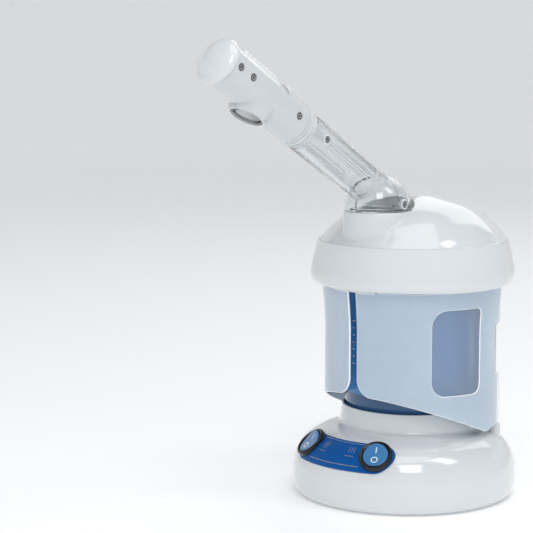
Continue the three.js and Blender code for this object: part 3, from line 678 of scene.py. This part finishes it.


def build_tank():
    r, top, wall = TANK_R, TANK_TOP, 2.2
    vessel = [(26, TANK_BOTTOM, 0.8), (49, TANK_BOTTOM, 4), (54, 63.6, 3), (56.2, 67.5, 2), (56.2, 77, 1.5),
              (r, 80, 1.5), (r, TANK_SHADE_TOP), (r, top, 1.2), (50, top, 0.8), (50, top - wall, 0.8),
              (r - wall, top - wall, 1.5), (r - wall, TANK_SHADE_TOP), (r - wall, 80, 1.5), (54.2, 77, 1),
              (54.2, 68, 3), (51, 65.2, 3), (47, 64.5, 1), (26, 64.5, 0.8)]
    tank = fine("water_tank", "tank", "tank_plastic", lathe(vessel, ROUND, ON_TANK))
    # painted shade: the faces low on the tank get the darker blue
    second_look(tank, TANK_LOW_PAINTED_SHADE, lambda centre, normal: centre.z < TANK_SHADE_TOP * MM)
    for i in range(7):
        reach = 1.4 if i % 3 else 2.6
        turns = radians(MARKS_BEARING) + np.linspace(-reach, reach, 9) / r
        mark = ribbon(around(r, turns, 150.0 - 6 * i, TANK_Y), around(1, turns, 0.0), 0.6, 0.1, False)
        piece(f"tank_level_{i + 1}", "tank", "white_plastic", mark, look=PRINT_WHITE)
    coil = [(16 + 2.6 * cos(t), 50.9 + 2.6 * sin(t)) for t in np.linspace(0, 2 * pi, 17)[:-1]]
    for node, body, slot, outline, count in (
            ("tank_plate", "tank", "steel",
             [(0, 64.8), (32, 64.8), (32, 66, 0.5), (28, 67.6, 0.8), (0, 67.6)], FINE),
            ("heater_plate", "base", "aluminium",
             [(0, 54), (22, 54, 0.6), (22, 57.6), (25.5, 57.6, 0.5), (25.5, 64.4, 0.8), (0, 64.4)], FINE),
            ("heating_element", "base", "steel", coil, FINE),
            ("thermal_cutout", "base", "steel", [(0, 46), (6, 46, 0.6), (6, 53.6, 0.4), (0, 53.6)], 48)):
        fine(node, body, slot, lathe(outline, count, ON_TANK))
    for node, slot in (("control_board", "circuit_board"), ("ozone_ballast", "black_plastic"),
                       ("lamp_bracket", "steel")):
        fine(node, "base", slot, block(*span(node)), bevel=0.4)


# -------- guard doors


def door_radius(z):
    return np.interp(z, [145, 154, 163, 171, DOOR_TOP], [DOOR_R, 74.35, 75.0, 75.75, door_high.x])


def on_door(path, offset):
    """(length along the door, height) pairs laid on the door's outer face, moved in or out by an offset."""
    return around(door_radius(path[..., 1]) + offset, path[..., 0] / DOOR_R, path[..., 1], TANK_Y)


def door_length(bearing):
    return radians(bearing) * DOOR_R


def door_bottom(bearing):
    """The lower edge is cut by a plane that falls towards the rear."""
    return 63.2 + 0.385 * DOOR_R * cos(radians(bearing))


def door_outline():
    """The upper edge steps up beside the door catch, to close the space under the dome's rim."""
    front, catch, step, rear = (door_length(b) for b in (DOOR_FRONT, CATCH_END, CATCH_END + 0.5, DOOR_REAR))
    lower = [(door_length(b), door_bottom(b)) for b in range(90, 15, -5)]
    return softened([(front, door_bottom(DOOR_FRONT), 15), (front, DOOR_TOP, 1.5), (catch, DOOR_TOP),
                     (step, DOOR_TOP + DOOR_RISE), (rear, DOOR_TOP + DOOR_RISE, 1.5),
                     (rear, door_bottom(DOOR_REAR), 14), *lower], steps=12)


def window_outline():
    low, high = door_length(54), door_length(90.3)
    return softened([(low, 93.8, 12), (low, 165, 13), (high, 165, 4), (high, 93.8, 8)], steps=10)


def seen_from(outline, centre, turns):
    """The outline's points in the given directions from a centre inside it."""
    corners = np.array(outline) - centre
    ends = np.roll(corners, -1, 0)
    found = []
    for turn in turns:
        way = np.array([cos(turn), sin(turn)])
        sides = ends - corners
        crossing = way[0] * sides[:, 1] - way[1] * sides[:, 0]
        crossing[np.abs(crossing) < 1e-12] = 1e-12
        far = (corners[:, 0] * sides[:, 1] - corners[:, 1] * sides[:, 0]) / crossing
        along = (corners[:, 0] * way[1] - corners[:, 1] * way[0]) / crossing
        hit = (far > 0) & (along > -1e-9) & (along < 1 + 1e-9)
        found.append(centre + way * far[hit].max())
    return np.array(found)


def outward(line):
    """Unit normals of a closed line that runs anticlockwise."""
    along = np.roll(line, -1, 0) - np.roll(line, 1, 0)
    normal = np.stack([along[:, 1], -along[:, 0]], 1)
    return normal / np.linalg.norm(normal, axis=1)[:, None]


def rounded_edge(line, normals, edge, thick, top=0.0):
    """Rings from the outer face round the border of a plate to its inner face."""
    rings = []
    for turn in np.linspace(0, pi, 9):
        path = line - normals * edge * (1 - sin(turn))
        rings.append(on_door(path, top - thick / 2 + thick / 2 * cos(turn)))
    return rings


def door_form():
    centre = np.mean(np.array(window_outline()), 0)
    corners = np.concatenate([np.array(door_outline()), np.array(window_outline())]) - centre
    turns = np.concatenate([np.linspace(-pi, pi, 360, endpoint=False), np.arctan2(corners[:, 1], corners[:, 0])])
    turns = np.unique(np.round(turns, 3))
    border, hole = (seen_from(line, centre, turns) for line in (door_outline(), window_outline()))
    out, into, edge = outward(border), outward(hole), 0.9
    outer_rim = rounded_edge(border, out, edge, DOOR_T)
    inner_rim = rounded_edge(hole, -into, edge, DOOR_T)
    first, last = border - out * edge, hole + into * edge
    shares = np.linspace(0, 1, 26)[1:-1]
    back = [on_door(first * (1 - s) + last * s, -DOOR_T) for s in shares]
    front = [on_door(last * (1 - s) + first * s, 0.0) for s in shares]
    return skin([*outer_rim, *back, *reversed(inner_rim), *front], loop=True)


def window_form():
    hole, soft, sunk, thick = np.array(window_outline()), 0.5, 0.25, 1.5
    border = seen_from(hole, hole.mean(0), np.linspace(-pi, pi, 240, endpoint=False))
    normals = outward(border)
    border = border - normals * 0.12
    rim = rounded_edge(border, normals, soft, thick, top=-sunk)
    middle, inner = border.mean(0), border - normals * soft
    shares = [1, 0.9, 0.75, 0.55, 0.3, 0.02]
    face = [on_door(middle + (inner - middle) * s, -sunk) for s in reversed(shares[1:])]
    back = [on_door(middle + (inner - middle) * s, -sunk - thick) for s in shares[1:]]
    return skin([*face, *rim, *back])


def across_door(centre, normal):
    """True for a face that stands across the door rather than along it."""
    out = Vector((centre.x, centre.y - TANK_Y * MM, 0)).normalized()
    return abs(normal.dot(out)) < 0.92


def knuckle_forms():
    """The hinge leaf and barrel at both heights, overlapping the door's rear edge."""
    forms = []
    turns = np.radians(np.linspace(DOOR_REAR - 4, KNUCKLE_REAR, 16))
    for low, high in ((EAR_TOP + 0.6, LOW_KNUCKLE_TOP), (HIGH_KNUCKLE_BOTTOM, DOOR_TOP)):
        levels = np.linspace(low, high, 12)[:, None]
        face = DOOR_R if high == LOW_KNUCKLE_TOP else door_radius(levels)
        forms.append(slab(*(around(face + offset, turns, levels, TANK_Y) for offset in (-0.02, -DOOR_T - 0.1))))
        forms.append(post(KNUCKLE_R, low, high, 48, moved(HINGE_X, HINGE_Y, 0), 0.5))
    return forms


def build_doors():
    pin_hole = post(PIN_HOLE_R, 40, 200, 32, moved(HINGE_X, HINGE_Y, 0))
    plain, pane = door_form(), window_form()
    for label, turn in (("right", lambda form: form), ("left", mirrored)):
        body, pin = f"{label}_door", f"{label}_hinge_pin"
        door = fine(f"{label}_guard_door", body, "frosted_plastic", turn(plain),
                    adds=[turn(form) for form in knuckle_forms()], cuts=[turn(pin_hole)])
        # painted highlight along the door's edges
        second_look(door, DOOR_EDGE_PAINTED_LIGHT, across_door)
        piece(f"{label}_door_window", body, "frosted_plastic", turn(pane), look=WINDOW)
        low, high = span(pin)
        fine(pin, "base", "steel", post(PIN_R, low.z, high.z, 32, middle_of(pin), 0.3))


def build_column():
    middle, half = 63.6, 2
    first, last = (radians(bearing) * middle for bearing in (116, 244))
    ends = softened([(first, -half, 1.4), (last, -half, 1.4), (last, half, 1.4), (first, half, 1.4)], 6)
    dense = []
    for a, b in zip(ends, np.roll(ends, -1, 0)):
        pieces = max(1, int(np.linalg.norm(b - a) / 2))
        dense += [a + (b - a) * k / pieces for k in range(pieces)]
    dense = np.array(dense)
    plan = around(middle + dense[:, 1], dense[:, 0] / middle, 0.0, TANK_Y)
    bottom, top = base_top(plan) + GAP, span("rear_column")[1].z
    rings = []
    for share in np.linspace(0, 1, 20):
        ring = plan.copy()
        ring[:, 2] = bottom * (1 - share) + top * share
        rings.append(ring)
    fine("rear_column", "base", "white_plastic", skin(rings))


# -------- dome

COVER_LINE = np.array(through([(DOME_R, SEAM_Z), (77.6, SEAM_Z + 2.6), (72, SEAM_Z + 9.2), (60, 236.2), (44, 246.2),
                               (20, 253), (0, DOME_TOP)], 8))
REAR_LEAN = 2.4  # the crown is a little fuller towards the rear
COVER_T = 2.4
DUCT_FOOT_R, DUCT_TOP_R, DUCT_T = 48.5, 30, 2


def dome_height(plan):
    y = plan[:, 1] - TANK_Y
    lean = REAR_LEAN * np.clip((DOME_R - np.hypot(plan[:, 0], y)) / 9, 0, 1)
    return np.interp(np.hypot(plan[:, 0], y - lean), COVER_LINE[::-1, 0], COVER_LINE[::-1, 1])


def higher(a, b, soft):
    """The larger of two heights, with the corner between them rounded off."""
    return (a + b + np.sqrt((a - b)**2 + soft**2)) / 2


def cover_top(plan, shift=0.0):
    """Height of the dome with its swivel boss and the dish behind it. The shift makes the inner face."""
    reach = np.hypot(plan[:, 0], plan[:, 1] - BOSS_Y)
    wall = np.interp(reach + shift, [0, 27.5, 28.0, 28.4, 29, 29.8, 30.4],
                     [BOSS_TOP, BOSS_TOP, BOSS_TOP - 0.15, BOSS_TOP - 0.7, 232, 217, 200])
    dish = np.interp(reach - shift, [0, 29.6, 30, 30.4, 31, 32.5],
                     [BOSS_TOP + 0.1, BOSS_TOP + 0.1, BOSS_TOP + 0.8, 250, 262, 292])
    return -higher(-higher(dome_height(plan), wall, 0.5), -dish, 0.3) - shift


def cover_form():
    near = [21.3, 23, 25.2, 26.6, 27.2, 27.5, *np.arange(27.7, 29.9, 0.1), *np.arange(30, 34, 0.2)]
    rings = [circle(r, 0, ROUND, BOSS_Y) for r in near]
    last, rim = rings[-1], circle(DOME_R, 0, ROUND, TANK_Y)
    rings += [last * (1 - share) + rim * share for share in np.linspace(0, 1, 44)[1:]]
    for ring in rings:
        ring[:, 2] = cover_top(ring)
    rings[-1][:, 2] = SEAM_Z + 0.5
    for inset, rise in ((0.15, 0.05), (0.5, 0), (2.6, 0)):
        rings.append(circle(DOME_R - inset, SEAM_Z + rise, ROUND, TANK_Y))
    inner_rim, start = circle(DOME_R - 3, 0, ROUND, TANK_Y), circle(30.2, 0, ROUND, BOSS_Y)
    for share in np.linspace(0, 1, 30):
        plan = inner_rim * (1 - share) + start * share
        reach = np.hypot(plan[:, 0], plan[:, 1] - BOSS_Y)
        fall = np.clip((reach - 30.2) / 3.4, 0, 1)
        plan[:, 2] = np.maximum((cover_top(plan, COVER_T) - 0.2) * fall + SEAM_Z * (1 - fall), SEAM_Z + 0.2)
        rings.append(plan)
    for reach, z in ((25, SEAM_Z + 0.2), (25, 238.6), (21.3, 238.6)):
        rings.append(circle(reach, z, ROUND, BOSS_Y))
    return skin(rings, loop=True)


def build_dome():
    outer = through([(84.6, RIM_Z + 0.6), (86, RIM_Z + 3.4), (BAND_R, 190), (85, 198.4), (83.4, 205.4),
                     (81.6, SEAM_Z - 3.8)], 6)
    lip = [(80.75, SEAM_Z + 0.35, 0.4), (79.95, SEAM_Z + 0.35, 0.3), (79.95, SEAM_Z - 0.05), (77.2, SEAM_Z - 0.05)]
    band = [(84, RIM_Z), *outer, *lip, (80.6, 205.4), (82.2, 198.4), (83.8, 190), (83.8, 186), (81.6, 183),
            (81.8, RIM_Z + 0.2), (82.2, RIM_Z)]
    fine("dome_band", "base", "white_plastic", lathe(band, ROUND, ON_TANK), crease=40)
    fine("dome_cover", "base", "white_plastic", cover_form(), crease=50)
    fine("dome_floor", "base", "white_plastic", lathe(hoop("dome_floor", 45, 0.6), ROUND, ON_TANK),
         cuts=[post(PIN_HOLE_R, 170, 190, 24, moved(side * HINGE_X, HINGE_Y, 0)) for side in (1, -1)])
    low, high = span("door_catch")
    turns, reaches = np.radians(np.linspace(-18, 18, 40)), np.array([[72], [75.7], [79.4]])
    fine("door_catch", "base", "white_plastic", slab(*(around(reaches, turns, z, TANK_Y) for z in (high.z, low.z))),
         bevel=0.5)
    fine("tank_gasket", "base", "silicone", lathe(hoop("tank_gasket", 46.5, 1, 1), ROUND, ON_TANK))
    low, high = span("steam_duct")
    rings = []
    for wall, order in ((0, (0, 1)), (DUCT_T, (1, 0))):
        for share in np.linspace(*order, 14):
            reach = DUCT_FOOT_R * (1 - share) + DUCT_TOP_R * share - wall
            y = TANK_Y * (1 - share) + BOSS_Y * share
            rings.append(circle(reach, low.z + (high.z - low.z) * share, ROUND, y))
    fine("steam_duct", "base", "white_plastic", skin(rings, loop=True))
    low, high = span("ozone_lamp")
    lamp = [(0, low.z), (6, low.z), (6, 193), (4.6, 194.4), *dome_line(4.6, 205, high.z, 10)]
    fine("ozone_lamp", "base", "lamp_glass", lathe(lamp, 48, moved(0, (low.y + high.y) / 2, 0)))


# -------- arm

ELBOW_TOP = 274
ELBOW_RIM = 248  # the elbow is upright below this height
SHELL_T = 2
SKIRT_Z = BOSS_TOP + 0.4
ELBOW_SCREW = (27.9, BOSS_Y + 2, 250.4)
ARM_SCREW_AT = 94


def half_space(side):
    """A block over everything on one side of the mirror plane, short of it by half a gap."""
    near, far = side * GAP / 2, side * 60
    return block((min(near, far), -400, -200), (max(near, far), 400, 500))


def slot_rib(angle, low=30, high=86, half=2.1):
    """A long thin bead in the shape of a slot, on the outside of the clear tube."""
    turns = np.linspace(0, pi, 13)
    path = [(half * cos(t), high - half + half * sin(t)) for t in turns]
    path += [(-half, z) for z in np.linspace(high - half, low + half, 20)[1:-1]]
    path += [(-half * cos(t), low + half - half * sin(t)) for t in turns]
    path += [(half, z) for z in np.linspace(low + half, high - half, 20)[1:-1]]
    path = np.array(path)
    turns = radians(180 - angle) + path[:, 0] / ARM_TUBE_R
    return set_in(ribbon(around(ARM_TUBE_R, turns, path[:, 1]), around(1, turns, 0.0), 0.7, 0.42, True), ON_ARM)


def on_rib_or_seam(centre, normal):
    """True for the beads on the tube, the screws' bosses and the faces where the two shells meet."""
    spot = centre / MM
    place = ON_ARM.inverted() @ spot
    raised = hypot(place.x, place.y) > ARM_TUBE_R + 0.03 and 28 < place.z < 88
    upper_boss = spot.x > ARM_TUBE_R and hypot(place.y, place.z - ARM_SCREW_AT) < 4.4
    lower_boss = spot.x > 21 and hypot(spot.y - ELBOW_SCREW[1], spot.z - ELBOW_SCREW[2]) < 4.4
    return raised or upper_boss or lower_boss or (abs(spot.x) < GAP and abs(normal.x) > 0.9)


def build_arm():
    inner_r, inner_z = SKIRT_R - SHELL_T, SKIRT_Z + SHELL_T
    elbow = lathe([(0, SKIRT_Z), (SKIRT_R, SKIRT_Z), *dome_line(SKIRT_R, ELBOW_RIM, ELBOW_TOP, 24)], ROUND, ON_BOSS)
    hollow = lathe([(0, inner_z), (inner_r, inner_z), *dome_line(inner_r, ELBOW_RIM, ELBOW_TOP - SHELL_T, 24)],
                   ROUND, ON_BOSS)
    spigot = [(0, SPIGOT_BOTTOM), (20.8, SPIGOT_BOTTOM, 0.6), (20.8, SKIRT_Z + 1), (0, SKIRT_Z + 1)]
    tube = [(0, 6), (ARM_TUBE_R, 6), (ARM_TUBE_R, ARM_TUBE_END, 0.7), (0, ARM_TUBE_END)]
    upper = ON_ARM @ moved(0, 0, ARM_SCREW_AT) @ TO_SIDE
    lowered = moved(0, *ELBOW_SCREW[1:]) @ TO_SIDE
    hole_r = SCREW_R + GAP
    bosses = [lathe([(0, low), (4.2, low), (4.2, high, 0.6), (0, high)], 48, place)
              for low, high, place in ((15.6, 18.4, upper), (21, 28.3, lowered))]
    holes = [post(hole_r, 16.8, 24, 40, upper),
             lathe([(0, 20), (1.7, 20), (1.7, 26), (hole_r, 26), (hole_r, 34), (0, 34)], 40, lowered)]
    adds = [lathe(tube, place=ON_ARM), lathe(spigot, place=ON_BOSS)]
    cuts = [hollow, post(ARM_TUBE_BORE, 2, ARM_TUBE_END + 2, place=ON_ARM),
            post(18.4, SPIGOT_BOTTOM - 1, SKIRT_Z + 4, place=ON_BOSS)]
    for label, side, more_adds, more_cuts in (("right", 1, bosses, holes), ("left", -1, [], [])):
        ribs = [slot_rib(side * angle) for angle in (84, 107.5)]
        shell = fine(f"arm_shell_{label}", "arm", "clear_plastic", elbow, adds=[*adds, *more_adds, *ribs],
                     cuts=[*cuts, *more_cuts], keeps=[half_space(side)])
        # painted highlight on the beads, the bosses and the seam faces
        second_look(shell, CLEAR_PAINTED_HIGHLIGHT, on_rib_or_seam)
    cross_screw("arm_screw_upper", "arm", upper @ moved(0, 0, 18), length=1.1)
    cross_screw("arm_screw_lower", "arm", lowered @ moved(0, 0, ELBOW_SCREW[0]), length=5.4)
    for node, slot in (("swivel_ring", "silicone"), ("swivel_seal", "rubber")):
        fine(node, "arm", slot, lathe(hoop(node, 21.1), place=ON_BOSS))


def build_slide():
    tube = [(INNER_TUBE_BORE, 16, 0.7), (INNER_TUBE_R, 16, 0.7), (INNER_TUBE_R, 128, 0.5),
            (INNER_TUBE_BORE, 128, 0.5)]
    seal = [(12.3, 18, 0.6), (14.5, 18, 1), (14.5, 22, 1), (12.3, 22, 0.6)]
    collar = [(12.3, 107.6), (16.6, 107.6, 0.5), (16.6, 110, 0.5), (15.4, 110.6, 0.3), (15.4, 112, 0.3),
              (16.8, 112.6, 0.5), (16.8, 114.6, 0.5), (15.8, 115.2, 0.3), (15.8, 116.4, 0.3), (17.4, 117, 0.5),
              (17.4, 119.2, 0.5), (12.3, 119.2)]
    fine("inner_tube", "slide", "clear_plastic", lathe(tube, place=ON_ARM), look=CLEAR_THIN)
    fine("tube_seal", "slide", "silicone", lathe(seal, place=ON_ARM), look=CLEAR_THIN)
    # the collar in the whiter clear look, painted highlight
    fine("slide_collar", "slide", "clear_plastic", lathe(collar, place=ON_ARM), look=CLEAR_PAINTED_HIGHLIGHT)


# -------- head


def top_sector(inner, outer, half_angle, low, high, columns=40, rows=8):
    """A block that bends round the head's axis, centred on its top."""
    turns = np.radians(180 + np.linspace(-half_angle, half_angle, columns))
    levels = np.linspace(low, high, rows)[:, None]
    return set_in(slab(*(around(reach, turns, levels) for reach in (outer, inner))), ON_ARM)


def bell(x, half):
    """A smooth hump of height 1 that ends at a distance of half."""
    return np.where(np.abs(x) < half, 0.5 + 0.5 * np.cos(pi * np.clip(x / half, -1, 1)), 0.0)


def plateau(x, half, soft):
    """1 within half of the middle, falling smoothly to 0 over a further soft distance."""
    over = np.clip((np.abs(x) - half) / soft, 0, 1)
    return 0.5 + 0.5 * np.cos(pi * over)


def casing_form():
    """The head's tube with the raised catch pad on its top."""
    low, high = HEAD_LOW, HEAD_HIGH
    levels = [*softened([(0, low), (HEAD_R, low, 1.4), (HEAD_R, low + 3)])[1:],
              *((HEAD_R, z) for z in np.arange(low + 4, high - 2, 0.6)),
              *softened([(HEAD_R, high - 1.5), (HEAD_R, high, 0.8), (0, high)])[:-1]]
    turns = np.degrees(np.arange(ROUND) * 2 * pi / ROUND)
    from_top = np.abs(((turns - 180) + 180) % 360 - 180)
    rings = [circle(1e-4, low, ROUND)]
    for reach, z in levels:
        pad = 0.95 * plateau(z - 142.6, 3.2, 1.6) * plateau(from_top, 44, 7)
        ring = circle(1, z, ROUND)
        ring[:, :2] *= (reach + pad)[:, None]
        rings.append(ring)
    rings.append(circle(1e-4, high, ROUND))
    return set_in(skin(rings), ON_ARM)


def build_head():
    step, end = HEAD_LOW + 2.4, HEAD_HIGH + 2
    spout = lathe([(0, 2), (18.5, 2), (17.9, 11), (16.6, 17.4), (15.2, 21.2, 0.9), (0, 21.2)], place=ON_SPOUT)
    bore = lathe([(0, HEAD_LOW - 2), (13, HEAD_LOW - 2), (13, step), (HEAD_BORE, step), (HEAD_BORE, end), (0, end)],
                 place=ON_ARM)
    mouth = lathe([(0, 4), (13.4, 4), (13.4, 19.6), (14.4, 30), (0, 30)], place=ON_SPOUT)
    rail = top_sector(17.2, 30, SLIDER_HALF_ANGLE + 1, SLIDER_LOW - SLIDER_TRAVEL - 0.6, SLIDER_HIGH + 0.4)
    screws = [ON_ARM @ moved(0, 0, at) @ TO_SIDE for at in (131.6, 190.4, 205.5)]
    wells = [post(SCREW_WELL_R, 17.2, 30, 40, place) for place in screws]
    for label, side, more_cuts in (("right", 1, wells), ("left", -1, [])):
        # the head shells wear the greyer white, painted shade
        fine(f"head_shell_{label}", "head", "white_plastic", casing_form(), adds=[spout],
             cuts=[bore, mouth, rail, *more_cuts], keeps=[half_space(side)], look=HEAD_PAINTED_SHADE)
    for i, place in enumerate(screws):
        cross_screw(f"head_screw_{i + 1}", "head", place @ moved(0, 0, 18.3))
    cap = [(0, 220.5), (12, 218.9), (17.2, 215), (17.2, 212), (18.6, 212), (19.6, 212, 0.7), (19.6, 213.6),
           *dome_line(19.6, 213.6, 222.5, 24)[1:]]
    fine("head_cap", "head", "white_plastic", lathe(cap, place=ON_ARM))
    funnel = [(6, 5), (7, 5), (7, 11), (12.9, 17.4, 0.6), (12.9, 20.6, 0.4), (11.9, 20.6, 0.4), (11.9, 17.9, 0.6),
              (6, 11.5, 0.6)]
    fine("nozzle_insert", "head", "chrome", lathe(funnel, place=ON_SPOUT))


def build_slider():
    """The slider, with eight ribs across its top."""
    low, high = SLIDER_LOW, SLIDER_HIGH
    angles = np.linspace(-SLIDER_HALF_ANGLE, SLIDER_HALF_ANGLE, 90)
    levels = np.linspace(low, high, 180)[:, None]
    middles = [low + 3.1 + i * (high - low - 6) / 7 for i in range(8)]
    bumps = sum(bell(levels - middle, 2.2) for middle in middles) * plateau(angles, 32, 8)
    rim = np.minimum(np.minimum(levels - low, high - levels) / 0.5, (SLIDER_HALF_ANGLE - np.abs(angles)) / 1.5)
    outer = HEAD_R - 0.25 * (1 - np.clip(rim, 0, 1)) + 1.35 * bumps
    grids = [around(reach, np.radians(180 + angles), levels) for reach in (outer, 17.5)]
    fine("head_slider", "slider", "white_plastic", set_in(slab(*grids), ON_ARM))


# -------- camera, light and floor

CAMERA_BEARING = 41
CAMERA_REACH = 1.647
CAMERA_HEIGHT = 0.412
CAMERA_PAN = 4.32  # the object stands right of the picture's middle
CAMERA_PITCH = 7.74
FOCAL, RISE, PICTURE = 1951, 4.2, 533  # the lens, its shift and the picture's width, in the same unit
AIM_Z = 0.18  # the lights point here
FLOOR_REACH, FLOOR_BEND = 4.2, 1.6


def build_camera():
    data = bpy.data.cameras.new("camera")
    data.sensor_width = 36
    data.lens = FOCAL / PICTURE * data.sensor_width
    data.shift_y = RISE / PICTURE
    camera = bpy.data.objects.new("camera", data)
    bearing = radians(CAMERA_BEARING)
    camera.location = (CAMERA_REACH * sin(bearing), TANK_Y * MM - CAMERA_REACH * cos(bearing), CAMERA_HEIGHT)
    camera.rotation_euler = (radians(90 - CAMERA_PITCH), 0, radians(CAMERA_BEARING + CAMERA_PAN))
    bpy.context.scene.collection.objects.link(camera)
    bpy.context.scene.camera = camera


def area_light(name, bearing, reach, height, size, power, tall=None, mirrored_in=True):
    """A soft light, in metres and watts."""
    data = bpy.data.lights.new(name, "AREA")
    data.shape = "RECTANGLE"
    data.size, data.size_y, data.energy = size, tall or size, power
    lamp = bpy.data.objects.new(name, data)
    turn = radians(bearing)
    lamp.location = (reach * sin(turn), -reach * cos(turn), height)
    aim = Vector((0, 0, min(AIM_Z, height))) - lamp.location
    lamp.rotation_euler = aim.to_track_quat("-Z", "Y").to_euler()
    lamp.visible_glossy = lamp.visible_camera = mirrored_in
    bpy.context.scene.collection.objects.link(lamp)


def build_stage():
    """A pale floor that bends up into a wall all round, and the lights."""
    bend = [(FLOOR_REACH + FLOOR_BEND * sin(t), FLOOR_BEND * (1 - cos(t))) for t in np.linspace(0, pi / 2, 12)]
    outline = [(0.0001, 0), (1.5, 0), (FLOOR_REACH, 0), *bend, (5.8, 3)]
    points, faces = skin([circle(r / MM, z / MM, FINE) for r, z in outline])
    floor = solid("floor", (points, faces[:-1]))
    look = material("pale_floor", (0.93, 0.935, 0.94), 0.6, detail=3, tint=0.01, bump=0.0, Emission_Strength=0.2)
    floor.data.materials.append(look)
    floor.data.shade_smooth()
    world = bpy.data.worlds.new("studio")
    world.use_nodes = True
    sky = world.node_tree.nodes["Background"].inputs
    sky["Color"].default_value = (0.95, 0.97, 1.0, 1)
    sky["Strength"].default_value = 0.38
    bpy.context.scene.world = world
    area_light("key", 112, 1.0, 1.7, 0.45, 4.2, tall=0.7)
    area_light("front", 0, 0.75, 0.85, 0.4, 0.85, mirrored_in=False)
    area_light("key_pair", 50, 1.2, 1.35, 0.6, 6.5, tall=0.75)
    area_light("fill", 52, 0.7, 0.08, 0.4, 0.3, mirrored_in=False)
    area_light("top", 60, 0.3, 2.0, 1.0, 4.5)
    area_light("back", 200, 1.4, 1.5, 1.2, 5)
    bpy.context.scene.view_settings.view_transform = "Standard"


build_camera()
build_stage()
build_base()
build_panel()
build_switch("steam", 1)
build_switch("ozone", -1)
build_tank()
build_doors()
build_column()
build_dome()
build_arm()
build_slide()
build_head()
build_slider()
